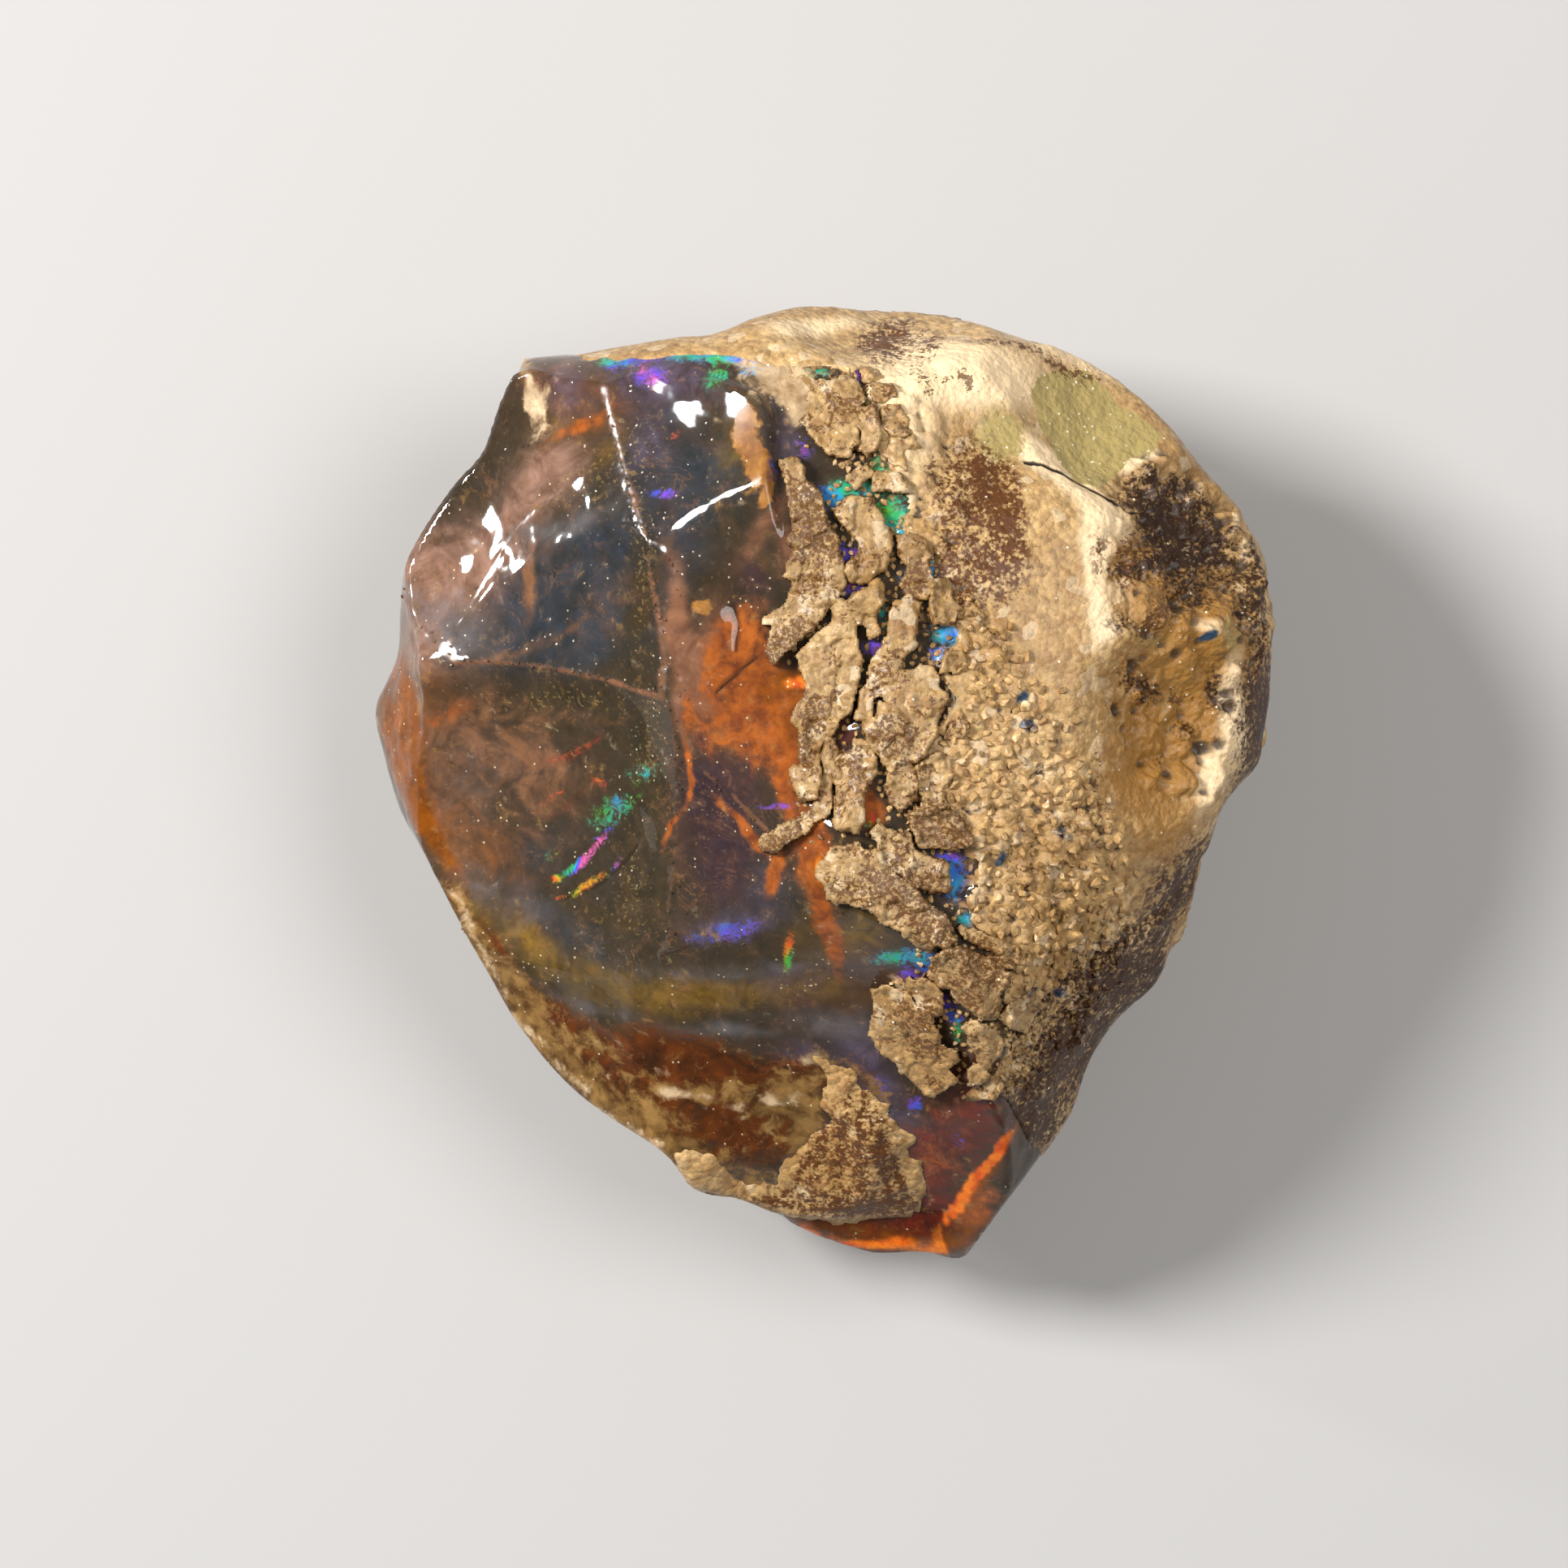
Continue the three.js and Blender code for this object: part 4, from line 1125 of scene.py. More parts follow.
# The rock's patterns: how wide their patches are in millimetres, detail and roughness.
ROCK_PATTERNS = {
    "cloud": (5.5, 5, 0.6),
    "grit": (0.62, 4, 0.65),
    "pepper": (0.24, 2, 0.6),
    "cluster": (1.8, 4, 0.6),
}

# Weathered rhyolite: chalky and granular, with dark brown specks of ore, still damp, so it has
# a dull body and small wet glints. The real sand and ore grains are about half as wide as
# these, which are as coarse as it takes for them to show.
weathered_rhyolite, tree, shader = node_material("weathered_rhyolite")
coords = add(tree, "ShaderNodeTexCoord").outputs["Object"]
mask = {name: add(tree, "ShaderNodeAttribute", attribute_name=name).outputs["Fac"]
        for name in (*ROCK_COLOURS, "pepper", "tint")}
noise = {}
for name, (wide, detail, coarse) in ROCK_PATTERNS.items():
    noise[name] = add(tree, "ShaderNodeTexNoise", {
        "Vector": coords, "Scale": fineness(wide), "Detail": detail, "Roughness": coarse,
    }).outputs["Fac"]
sand = add(tree, "ShaderNodeTexVoronoi", {"Vector": coords, "Scale": fineness(0.38)})
grain = add(tree, "ShaderNodeTexVoronoi", {"Vector": coords, "Scale": fineness(0.8)})
cloudy = add(tree, "ShaderNodeMapRange", {
    "Value": noise["cloud"], "From Min": 0.35, "From Max": 0.65,
}).outputs[0]
colour = add(tree, "ShaderNodeMix", {0: cloudy, 6: linear("#a5804c"), 7: linear("#c9a774")},
             data_type="RGBA").outputs[2]
gritty = add(tree, "ShaderNodeMapRange", {
    "Value": noise["grit"], "From Min": 0.38, "From Max": 0.68, "To Max": 0.75,
}).outputs[0]
colour = add(tree, "ShaderNodeMix", {0: gritty, 6: colour, 7: linear("#86633c")},
             data_type="RGBA").outputs[2]
tint = add(tree, "ShaderNodeSeparateColor", {"Color": sand.outputs["Color"]}).outputs[0]
tint = add(tree, "ShaderNodeMapRange", {"Value": tint, "To Min": 0.80, "To Max": 1.14}).outputs[0]
tint = add(tree, "ShaderNodeMath", {0: mask["tint"], 1: 0.3, 2: tint},
           operation="MULTIPLY_ADD").outputs[0]
colour = add(tree, "ShaderNodeVectorMath", {0: colour, 1: tint}, operation="MULTIPLY").outputs[0]

# One grain in ten is pale quartz and one in eight is brown.
which = add(tree, "ShaderNodeSeparateColor", {"Color": grain.outputs["Color"]}).outputs[0]
pale = add(tree, "ShaderNodeMapRange", {
    "Value": which, "From Min": 0.88, "From Max": 0.92, "To Max": 0.24,
}).outputs[0]
brown = add(tree, "ShaderNodeMapRange", {
    "Value": which, "From Min": 0.16, "From Max": 0.1, "To Max": 0.35,
}).outputs[0]
layers = [(pale, "#f0dfc0"), (brown, "#8a6038")]

# The marks lie over them, torn by the grit, and the ore peppers them all in clusters.
dots = add(tree, "ShaderNodeMath", {0: noise["grit"], 1: noise["pepper"]}, operation="ADD").outputs[0]
dots = add(tree, "ShaderNodeMath", {0: dots, 1: 0.5}, operation="MULTIPLY").outputs[0]
for name, (code, tear, soft) in ROCK_COLOURS.items():
    ragged = add(tree, "ShaderNodeMath", {0: dots, 1: tear, 2: mask[name]},
                 operation="MULTIPLY_ADD").outputs[0]
    middle = tear * 0.5 + ROCK_EDGE
    share = add(tree, "ShaderNodeMapRange", {
        "Value": ragged, "From Min": middle - soft, "From Max": middle + soft,
    }, interpolation_type="SMOOTHSTEP").outputs[0]
    near = add(tree, "ShaderNodeMapRange", {
        "Value": mask[name], "From Min": 0.04, "From Max": 0.4,
    }).outputs[0]
    share = add(tree, "ShaderNodeMath", {0: share, 1: near}, operation="MULTIPLY").outputs[0]
    layers.append((share, code))
many = add(tree, "ShaderNodeMath", {0: noise["cluster"], 1: mask["pepper"]}, operation="ADD").outputs[0]
many = add(tree, "ShaderNodeMapRange", {
    "Value": many, "From Min": 0.82, "From Max": 1.06, "To Min": 0.74, "To Max": 0.44,
}).outputs[0]
ore = add(tree, "ShaderNodeMath", {0: noise["pepper"], 1: many}, operation="SUBTRACT").outputs[0]
ore = add(tree, "ShaderNodeMapRange", {"Value": ore, "From Max": 0.04, "To Max": 0.85}).outputs[0]

# Some sand grains are painted pale as glints, most of all in the glassy olive patches: painted highlights.
painted_glint = add(tree, "ShaderNodeMapRange", {
    "Value": sand.outputs["Distance"], "From Min": 0.26, "From Max": 0.08,
}).outputs[0]
chosen = add(tree, "ShaderNodeSeparateColor", {"Color": sand.outputs["Color"]}).outputs[1]
chosen = add(tree, "ShaderNodeMath", {0: mask["olive_glaze"], 1: 0.3, 2: chosen},
             operation="MULTIPLY_ADD").outputs[0]
chosen = add(tree, "ShaderNodeMath", {0: chosen, 1: 0.97}, operation="GREATER_THAN").outputs[0]
painted_glint = add(tree, "ShaderNodeMath", {0: painted_glint, 1: chosen}, operation="MULTIPLY").outputs[0]
layers += [(ore, "#5a3614"), (painted_glint, "#f4ead2")]
for share, code in layers:
    colour = add(tree, "ShaderNodeMix", {0: share, 6: colour, 7: linear(code)},
                 data_type="RGBA").outputs[2]

# Sand and grains stand out as small domes, and how wet they look changes with the grit.
height = add(tree, "ShaderNodeMath", {0: sand.outputs["Distance"], 1: -0.5, 2: noise["grit"]},
             operation="MULTIPLY_ADD").outputs[0]
height = add(tree, "ShaderNodeMath", {0: grain.outputs["Distance"], 1: -0.55, 2: height},
             operation="MULTIPLY_ADD").outputs[0]
bump = add(tree, "ShaderNodeBump", {"Height": height, "Strength": 0.55, "Distance": 0.3 * MM})
rough = add(tree, "ShaderNodeMapRange", {"Value": noise["grit"], "To Min": 0.3, "To Max": 0.6})
plug(tree, shader, {
    "Base Color": colour, "Roughness": rough.outputs[0], "Normal": bump.outputs["Normal"],
    "Specular IOR Level": 0.3, "Coat Weight": 0.12, "Coat Roughness": 0.14,
})

host_rock = mesh_object("host_rock", rock_points, rock_faces, weathered_rhyolite, shades)
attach(host_rock, "root")
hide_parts("rough_opal")


# Crust plates: flakes of the rock that still stick to the opal beside the broken face, with
# gaps between them that the opal's colours show through. Each is a thickness in millimetres and
# an outline in pixels.
CRUST_PLATES = [
    (1.1, [(993, 505), (1010, 487), (1033, 476), (1052, 480), (1058, 503), (1052, 522),
           (1054, 545), (1052, 560), (1043, 575), (1022, 572), (1007, 564), (997, 545),
           (991, 530)]),
    (1.0, [(1054, 514), (1072, 512), (1079, 530), (1085, 549), (1075, 564), (1064, 574),
           (1054, 564), (1056, 545), (1052, 530)]),
    (0.9, [(1062, 468), (1075, 466), (1085, 476), (1075, 482), (1062, 480)]),
    (1.0, [(1073, 489), (1094, 489), (1098, 501), (1087, 508), (1072, 507)]),
    (1.0, [(1083, 518), (1106, 512), (1114, 526), (1112, 545), (1095, 549), (1085, 533)]),
    (1.0, [(1093, 552), (1121, 549), (1129, 564), (1108, 568), (1112, 589), (1098, 583),
           (1089, 572)]),
    (1.3, [(962, 579), (976, 575), (987, 589), (991, 606), (1008, 619), (1016, 646), (1029, 671),
           (1035, 698), (1037, 725), (1026, 750), (1006, 771), (985, 790), (953, 819), (946, 807),
           (949, 792), (955, 776), (945, 771), (951, 765), (962, 759), (970, 744), (976, 725),
           (964, 719), (970, 711), (978, 690), (975, 650), (975, 620), (968, 600)]),
    (1.1, [(1033, 631), (1045, 623), (1068, 625), (1072, 637), (1083, 648), (1096, 667),
           (1098, 679), (1089, 692), (1087, 706), (1075, 715), (1060, 724), (1043, 723),
           (1041, 709), (1052, 690), (1060, 679), (1052, 669), (1037, 656), (1031, 640)]),
    (0.9, [(1045, 598), (1056, 589), (1073, 593), (1072, 600), (1052, 611)]),
    (0.9, [(1075, 598), (1102, 598), (1121, 606), (1119, 614), (1092, 612), (1072, 612)]),
    (1.3, [(1022, 755), (1041, 744), (1062, 733), (1079, 725), (1084, 744), (1077, 765),
           (1077, 790), (1068, 792), (1064, 778), (1056, 773), (1052, 780), (1054, 799),
           (1056, 819), (1052, 838), (1047, 859), (1043, 878), (1026, 893), (1014, 914),
           (1007, 930), (1007, 953), (1001, 981), (985, 983), (982, 968), (975, 954), (976, 947),
           (984, 941), (985, 910), (980, 889), (981, 878), (991, 863), (995, 845), (989, 828),
           (982, 813), (1007, 790), (1024, 777)]),
    (1.0, [(1012, 926), (1020, 912), (1028, 926), (1026, 939), (1020, 950), (1022, 983),
           (1018, 1000), (991, 1023), (967, 1036), (952, 1046), (941, 1042), (942, 1033),
           (977, 1009), (999, 997), (1008, 975), (1010, 950)]),
    (1.1, [(1024, 945), (1033, 930), (1047, 926), (1051, 914), (1068, 918), (1073, 935),
           (1072, 956), (1062, 972), (1054, 966), (1056, 983), (1057, 1000), (1059, 1009),
           (1052, 1023), (1034, 1023), (1028, 1009), (1030, 980), (1026, 960)]),
    (1.2, [(1118, 744), (1129, 750), (1125, 777), (1121, 796), (1114, 815), (1104, 830),
           (1100, 853), (1093, 870), (1081, 857), (1072, 866), (1068, 884), (1052, 886),
           (1062, 863), (1064, 834), (1075, 811), (1089, 792), (1093, 761), (1102, 750)]),
    (1.1, [(1104, 672), (1116, 668), (1135, 680), (1140, 705), (1141, 735), (1137, 748),
           (1127, 748), (1114, 737), (1108, 727), (1114, 707), (1104, 690)]),
    (1.3, [(1108, 830), (1121, 828), (1129, 822), (1142, 824), (1150, 838), (1152, 853),
           (1161, 865), (1156, 878), (1148, 891), (1146, 909), (1135, 926), (1121, 939),
           (1098, 941), (1093, 951), (1083, 939), (1072, 926), (1064, 903), (1062, 891),
           (1077, 888), (1083, 872), (1096, 870), (1102, 849)]),
    (1.1, [(1100, 941), (1114, 939), (1121, 949), (1123, 968), (1121, 983), (1106, 995),
           (1093, 987), (1091, 968), (1096, 954)]),
    (1.1, [(1123, 947), (1139, 931), (1152, 928), (1165, 930), (1167, 954), (1156, 968),
           (1150, 983), (1160, 995), (1140, 1002), (1129, 991), (1127, 968)]),
    (0.9, [(1156, 813), (1177, 813), (1186, 824), (1175, 834), (1154, 832), (1152, 822)]),
    (1.1, [(1144, 719), (1156, 721), (1163, 738), (1179, 754), (1169, 773), (1146, 777),
           (1142, 757)]),
    (0.8, [(1167, 893), (1177, 887), (1188, 899), (1179, 907), (1160, 909)]),
    (1.3, [(1110, 1001), (1126, 993), (1146, 995), (1171, 1003), (1183, 1017), (1191, 1038),
           (1175, 1042), (1146, 1042), (1130, 1038), (1118, 1021)]),
    (1.2, [(1071, 1025), (1081, 1017), (1114, 1029), (1120, 1046), (1134, 1054), (1154, 1060),
           (1163, 1074), (1161, 1093), (1134, 1095), (1120, 1087), (1106, 1074), (1091, 1062),
           (1081, 1046)]),
    (1.5, [(1006, 1072), (1012, 1058), (1022, 1044), (1040, 1038), (1057, 1033), (1061, 1042),
           (1081, 1050), (1097, 1074), (1114, 1082), (1134, 1101), (1150, 1119), (1165, 1136),
           (1171, 1150), (1154, 1161), (1130, 1158), (1106, 1144), (1085, 1133), (1073, 1119),
           (1044, 1111), (1026, 1105), (1016, 1087)]),
    (1.2, [(1150, 1168), (1161, 1160), (1177, 1160), (1193, 1164), (1201, 1172), (1216, 1180),
           (1236, 1193), (1232, 1207), (1222, 1223), (1220, 1246), (1197, 1242), (1175, 1225),
           (1165, 1209), (1150, 1205), (1140, 1195), (1142, 1180)]),
    (1.0, [(1175, 1136), (1189, 1142), (1216, 1150), (1236, 1160), (1252, 1166), (1254, 1180),
           (1232, 1176), (1216, 1164), (1201, 1164), (1185, 1152)]),
    (1.1, [(1075, 1216), (1089, 1209), (1107, 1218), (1125, 1232), (1144, 1243), (1153, 1264),
           (1155, 1280), (1171, 1287), (1174, 1298), (1162, 1310), (1171, 1324), (1160, 1337),
           (1148, 1347), (1139, 1342), (1125, 1328), (1116, 1319), (1098, 1301), (1079, 1287),
           (1070, 1269), (1072, 1248), (1079, 1241)]),
    (0.8, [(1116, 1200), (1132, 1195), (1144, 1209), (1157, 1225), (1155, 1239), (1144, 1241),
           (1130, 1227), (1118, 1216)]),
    (1.1, [(1180, 1259), (1199, 1252), (1219, 1262), (1229, 1278), (1224, 1298), (1210, 1305),
           (1199, 1296), (1185, 1278)]),
    (1.1, [(1224, 1246), (1247, 1227), (1265, 1216), (1281, 1232), (1270, 1248), (1258, 1266),
           (1240, 1259)]),
    (1.0, [(1213, 1170), (1235, 1177), (1258, 1168), (1261, 1181), (1247, 1193), (1231, 1186),
           (1210, 1177)]),
    (0.8, [(1190, 1310), (1201, 1305), (1211, 1316), (1203, 1326), (1192, 1328)]),
]
# Where the plates are brown and peppered with ore, as spots like the opal's marks.
PEPPERED = [
    (990, 630, 30, 26, 0, .9), (1000, 668, 30, 22, 20, .9), (962, 799, 26, 16, 40, .8),
    (1005, 880, 20, 34, 0, .8), (990, 935, 20, 24, 0, .7), (1048, 948, 22, 28, 0, .7),
    (1107, 905, 36, 34, 0, .55), (1075, 840, 20, 30, 0, .6), (1145, 1012, 44, 20, -10, 1),
    (1092, 1092, 54, 26, -36, 1), (1146, 1125, 30, 22, -40, .9), (1106, 1256, 30, 34, -50, .4),
    (1140, 1292, 34, 30, -50, .4), (1190, 1195, 36, 22, -30, .8), (1035, 520, 30, 30, 0, .7),
    (1062, 690, 26, 26, 0, .5), (1120, 720, 16, 34, 0, .6), (965, 1030, 30, 10, 30, .5),
]
PLATE_GRID = 0.11  # spacing in millimetres of the points that a plate is made of
PLATE_MARGIN = 0.6  # how far a ragged edge may wander out of its outline
PLATE_SUNK = 0.4  # how deep a plate may sit in the rock
PLATE_DEPTH = 1.7  # how far a plate's bed should lie below the skin of the unbroken nodule
PLATE_LIFT = 0.4  # the most that a bed is raised over the opal for that
NODULE_FREQUENCY = 40  # parts of each edge of the ball that is made into the unbroken nodule

# The three surfaces that the plates are laid on: the opal, the rock and the unbroken nodule.
opal_tree = BVHTree.FromPolygons(opal_points.tolist(), opal_faces.tolist())
rock_tree = BVHTree.FromPolygons(rock_points.tolist(), rock_faces.tolist())
skin_ball, skin_faces = geodesic(NODULE_FREQUENCY)
skin_tree = BVHTree.FromPolygons(nodule(skin_ball).tolist(), skin_faces.tolist())


def height_at(tree, flat):
    """How high a surface is at each place, or 0 where there is none."""
    heights = []
    for x, y in flat:
        hit = tree.ray_cast(Vector((x, y, 2 * STONE_HEIGHT)), Vector((0, 0, -1)))[0]
        heights.append(hit.z if hit else 0.0)
    return np.array(heights)


def flake(outline, thickness, seed):
    """A ragged plate of crust with an outline: its points, its faces, and for each point how
    high it stands, from 0 at the rounded edge and the underside to 1."""
    # It keeps the squares of a grid that lie in its outline, which is torn by lumps.
    low = outline.min(axis=0) - PLATE_MARGIN
    steps = np.ceil((outline.max(axis=0) + PLATE_MARGIN - low) / PLATE_GRID).astype(int) + 1
    grid = np.stack(np.meshgrid(np.arange(steps[0]), np.arange(steps[1]), indexing="ij"), axis=-1)
    flat = low + grid.reshape(-1, 2) * PLATE_GRID
    spot = np.column_stack((flat, np.full(len(flat), seed * 7.0)))
    inside = within(flat, outline) + 0.18 + 0.42 * lumps(spot, 0.9, 41, 4)
    kept = (inside > -0.3 * PLATE_GRID).reshape(steps)
    cell = kept[:-1, :-1] & kept[1:, :-1] & kept[:-1, 1:] & kept[1:, 1:]
    number = np.arange(len(flat)).reshape(steps)
    quads = np.column_stack([part[cell] for part in
                             (number[:-1, :-1], number[1:, :-1], number[1:, 1:], number[:-1, 1:])])
    used = np.unique(quads)
    renumber = np.full(len(flat), -1)
    renumber[used] = np.arange(len(used))
    quads, flat, inside, spot = renumber[quads], flat[used], np.maximum(inside[used], 0), spot[used]
    # It lies on the opal or in the rock, with a rounded edge and a rough top.
    bed = np.maximum(height_at(opal_tree, flat), height_at(rock_tree, flat) - PLATE_SUNK)
    bed = np.maximum(bed, np.minimum(height_at(skin_tree, flat) - PLATE_DEPTH, bed + PLATE_LIFT))
    round_edge = np.sqrt(1 - (1 - np.clip(inside / 0.2, 0, 1)) ** 2)
    stepped = 0.25 * smooth(lumps(spot, 1.6, 45, 3), -0.05, 0.05)
    rough = 0.36 * lumps(spot, 2.2, 42, 5) + 0.25 * grain_domes(spot, (0.7, 0.4), 43) - 0.15
    rough = rough + stepped
    top = bed + 0.75 * thickness * (0.35 + 0.65 * round_edge) + rough * round_edge
    points = np.concatenate([np.column_stack((flat, top)), np.column_stack((flat, bed - 0.3))])
    # Walls join its top to its underside all along the border.
    sides = np.concatenate([quads[:, (k, (k + 1) % 4)] for k in range(4)])
    ways_back = {(b, a) for a, b in sides.tolist()}
    border = np.array([pair for pair in sides.tolist() if tuple(pair) not in ways_back])
    below = len(flat)
    walls = np.column_stack((border[:, 1], border[:, 0], border[:, 0] + below, border[:, 1] + below))
    faces = np.concatenate([quads, quads[:, ::-1] + below, walls])
    return points, faces, np.concatenate([round_edge, round_edge * 0])


flakes = [flake(from_pixels(outline), thickness, seed)
          for seed, (thickness, outline) in enumerate(CRUST_PLATES)]
counts = [len(points) for points, _, _ in flakes]
plate_points = np.concatenate([points for points, _, _ in flakes])
plate_faces = np.concatenate([faces + first for (_, faces, _), first
                              in zip(flakes, np.cumsum([0] + counts))])
plate_round = np.concatenate([round_edge for _, _, round_edge in flakes])
# Each plate has a number of its own from 0 to 1, spread out by the golden ratio.
plate_number = np.repeat([(seed * 0.618) % 1 for seed in range(len(flakes))], counts)
peppered = marks(strayed(plate_points, 0.3, 560), PEPPERED)
crust_plates = mesh_object("crust_plates", plate_points, plate_faces, weathered_rhyolite, {
    "pepper": 0.37 + 0.1 * plate_number + 0.3 * peppered,
    "tint": -0.35 - 0.35 * plate_number - 0.5 * peppered,
    # The plates' rounded edges and undersides are painted darker: painted shade.
    "crevice": 0.6 * (1 - plate_round),
})
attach(crust_plates, "root")
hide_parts("rough_opal")


# Loose grains: sand-sized grains of the rock that make its crust granular, and crumbs of it that
# lie in the gaps between the plates. A node tree strews lumpy grains over a surface.
MOST_GRAINS = 2e7  # on a square metre, which is so many that only their spacing limits them


def node_group(name, inputs):
    """A new tree for a modifier with these inputs, each a name and a kind of socket."""
    tree = bpy.data.node_groups.new(name, "GeometryNodeTree")
    for label, kind in inputs.items():
        tree.interface.new_socket(label, in_out="INPUT", socket_type=kind)
    tree.interface.new_socket("Geometry", in_out="OUTPUT", socket_type="NodeSocketGeometry")
    return tree


strewn = node_group("strewn_grains", {
    "Geometry": "NodeSocketGeometry", "Share": "NodeSocketString", "Spacing": "NodeSocketFloat",
    "Size": "NodeSocketFloat", "Seed": "NodeSocketInt", "Material": "NodeSocketMaterial",
})
given = add(strewn, "NodeGroupInput").outputs
share = add(strewn, "GeometryNodeInputNamedAttribute", {"Name": given["Share"]}, data_type="FLOAT")
scattered = add(strewn, "GeometryNodeDistributePointsOnFaces", {
    "Mesh": given["Geometry"], "Distance Min": given["Spacing"], "Density Max": MOST_GRAINS,
    "Density Factor": share.outputs["Attribute"], "Seed": given["Seed"],
}, distribute_method="POISSON")
# There are five shapes of grain, each wrapped round a ball whose points are pushed about.
shapes = add(strewn, "GeometryNodeGeometryToInstance")
for turn in range(5):
    cloud = add(strewn, "GeometryNodeMeshIcoSphere", {"Radius": 0.8, "Subdivisions": 2})
    push = add(strewn, "FunctionNodeRandomValue", {
        "Min": (-0.4, -0.4, -0.4), "Max": (0.4, 0.4, 0.4), "Seed": turn,
    }, data_type="FLOAT_VECTOR")
    cloud = add(strewn, "GeometryNodeSetPosition", {
        "Geometry": cloud.outputs["Mesh"], "Offset": push.outputs["Value"],
    })
    chip = add(strewn, "GeometryNodeConvexHull", {"Geometry": cloud.outputs["Geometry"]})
    strewn.links.new(chip.outputs["Convex Hull"], shapes.inputs["Geometry"])
# Every grain is turned, stretched and tinted by chance.
turned = add(strewn, "FunctionNodeRandomValue", {"Min": (-3, -3, -3), "Max": (3, 3, 3)},
             data_type="FLOAT_VECTOR")
stretched = add(strewn, "FunctionNodeRandomValue", {
    "Min": (0.55, 0.55, 0.45), "Max": (1.25, 1.25, 0.95), "Seed": 3,
}, data_type="FLOAT_VECTOR")
stretched = add(strewn, "ShaderNodeVectorMath", {
    0: stretched.outputs["Value"], "Scale": given["Size"],
}, operation="SCALE")
grains = add(strewn, "GeometryNodeInstanceOnPoints", {
    "Points": scattered.outputs["Points"], "Instance": shapes.outputs["Instances"],
    "Pick Instance": True, "Rotation": turned.outputs["Value"], "Scale": stretched.outputs[0],
})
tint = add(strewn, "FunctionNodeRandomValue", {2: -1.0, 3: 1.0, "Seed": 5}, data_type="FLOAT")
grains = add(strewn, "GeometryNodeStoreNamedAttribute", {
    "Geometry": grains.outputs["Instances"], "Name": "tint", "Value": tint.outputs[1],
}, data_type="FLOAT", domain="INSTANCE")
# The loose grains get none of the painted crevice shade.
grains = add(strewn, "GeometryNodeStoreNamedAttribute", {
    "Geometry": grains.outputs["Geometry"], "Name": "crevice", "Value": 0.0,
}, data_type="FLOAT", domain="INSTANCE")
grains = add(strewn, "GeometryNodeRealizeInstances", {"Geometry": grains.outputs["Geometry"]})
grains = add(strewn, "GeometryNodeSetMaterial", {
    "Geometry": grains.outputs["Geometry"], "Material": given["Material"],
})
strewn_output = add(strewn, "NodeGroupOutput")
strewn.links.new(grains.outputs["Geometry"], strewn_output.inputs["Geometry"])


def strew(name, ground, material, share, spacing, size, seed):
    """Grains over the parts of a piece where one of its attributes is above 0, as a new piece.
    Spacing and size are in millimetres."""
    values = {"Share": share, "Spacing": spacing * MM, "Size": size * MM, "Seed": seed,
              "Material": material}
    modifier = ground.modifiers.new("grains", "NODES")
    modifier.node_group = strewn
    for socket in strewn.interface.items_tree:
        if socket.in_out == "INPUT" and socket.name in values:
            modifier[socket.identifier] = values[socket.name]
    bpy.context.view_layer.update()
    evaluated = ground.evaluated_get(bpy.context.evaluated_depsgraph_get())
    mesh = bpy.data.meshes.new_from_object(evaluated)
    ground.modifiers.remove(modifier)
    return placed(name, mesh)


rock_grains = strew("rock_grains", host_rock, weathered_rhyolite, "grains", 0.62, 0.36, 1)
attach(rock_grains, "root")
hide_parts("rough_opal")
# The crumbs lie on the opal between the plates, where two of them are about a millimetre away.
near_plates = (opal_points[:, 0] > -4) & (opal_points[:, 2] > 18)
spots = opal_points[near_plates, :2]
cover = [within(spots, from_pixels(outline)) for _, outline in CRUST_PLATES]
second, first = np.sort(cover, axis=0)[-2:]
gaps = np.zeros(len(opal_points))
gaps[near_plates] = 0.8 * smooth(second, -1.3, -0.7) * smooth(0.3 - first, 0.0, 0.3)
crumbs = opal_body.data.attributes.new("crumbs", "FLOAT", "POINT")
crumbs.data.foreach_set("value", gaps.astype(np.float32))
gap_crumbs = strew("gap_crumbs", opal_body, weathered_rhyolite, "crumbs", 0.4, 0.22, 2)
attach(gap_crumbs, "root")
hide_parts("rough_opal")
ridge_chips = strew("ridge_chips", opal_body, clear_amber_opal, "ridge", 0.34, 0.13, 3)
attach(ridge_chips, "root")
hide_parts("rough_opal")


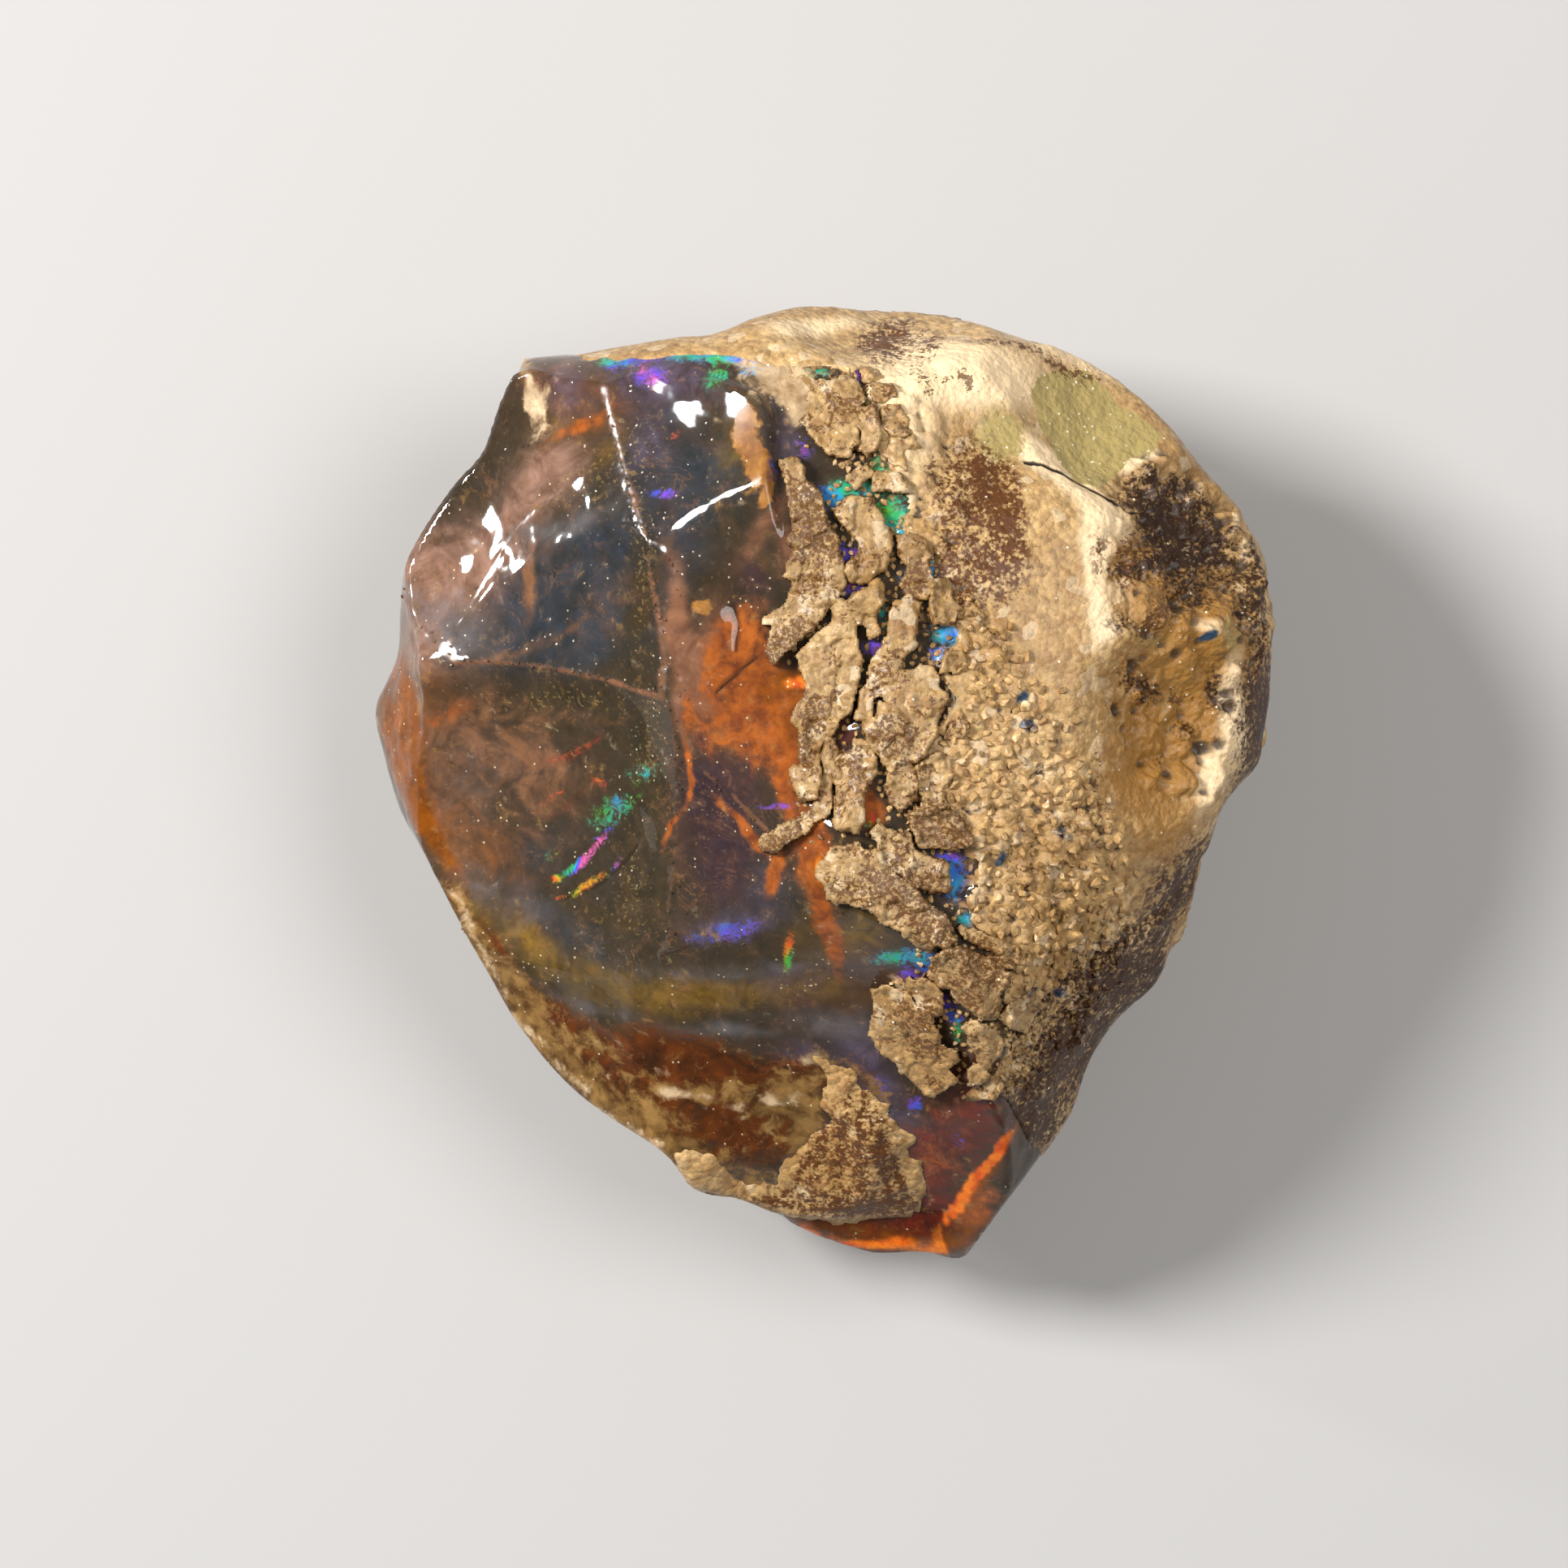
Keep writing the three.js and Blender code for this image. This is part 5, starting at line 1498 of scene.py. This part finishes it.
# The floor, the light and the camera. The stone lies on matt pale paper under three soft lamps.
# The key lamp stands where the wet opal mirrors it towards the camera, as in the photograph.
FLOOR_HALF_WIDTH = 1.5  # metres, as are all sizes from here on
AIM = Vector((0, 0, 0.02))  # the lamps point at the middle of the stone's face
floor_mesh = bpy.data.meshes.new("floor")
corners = [(-1, -1, 0), (1, -1, 0), (1, 1, 0), (-1, 1, 0)]
floor_mesh.from_pydata((np.array(corners) * FLOOR_HALF_WIDTH).tolist(), [], [(0, 1, 2, 3)])
# Matt paper has no shine of its own, so that the floor gives no glare at low angles.
matt_paper, tree, shader = node_material("matt_paper")
plug(tree, shader, {
    "Base Color": linear("#b0aeac"), "Roughness": 1.0, "Specular IOR Level": 0.0,
})
floor_mesh.materials.append(matt_paper)
floor = placed("floor", floor_mesh)

world = bpy.data.worlds.new("studio")
bpy.context.scene.world = world
world.use_nodes = True
plug(world.node_tree, world.node_tree.nodes["Background"], {
    "Color": (1, 0.98, 0.95, 1), "Strength": 0.25,
})
bpy.context.scene.view_settings.view_transform = "Standard"


def round_lamp(name, place, width, watts):
    """A soft round lamp."""
    lamp = bpy.data.lights.new(name, "AREA")
    lamp.shape = "DISK"
    lamp.size = width
    lamp.energy = watts
    lamp_object = placed(name, lamp)
    lamp_object.location = place
    lamp_object.rotation_euler = (AIM - Vector(place)).to_track_quat("-Z", "Y").to_euler()


round_lamp("key", (-0.42, 0.17, 0.45), 0.19, 6.0)
round_lamp("side", (-0.55, 0.18, 0.15), 0.04, 0.9)
round_lamp("fill", (0.25, 0.1, 0.5), 0.3, 1.8)

# The camera looks straight down on the broken face, from as far as its long lens needs.
PHOTO_PIXELS = 1932
FACE_HEIGHT = 0.012  # height over the floor at which a pixel is as wide as PIXEL says
camera = bpy.data.cameras.new("camera")
camera.lens = 200
camera.sensor_width = 36
camera.clip_start = 0.01
camera_object = placed("camera", camera)
away = PHOTO_PIXELS * PIXEL * MM * camera.lens / camera.sensor_width
to_middle = (np.full(2, PHOTO_PIXELS / 2) - MIDDLE_PIXEL) * (PIXEL * MM, -PIXEL * MM)
camera_object.location = (to_middle[0], to_middle[1], FACE_HEIGHT + away)
bpy.context.scene.camera = camera_object
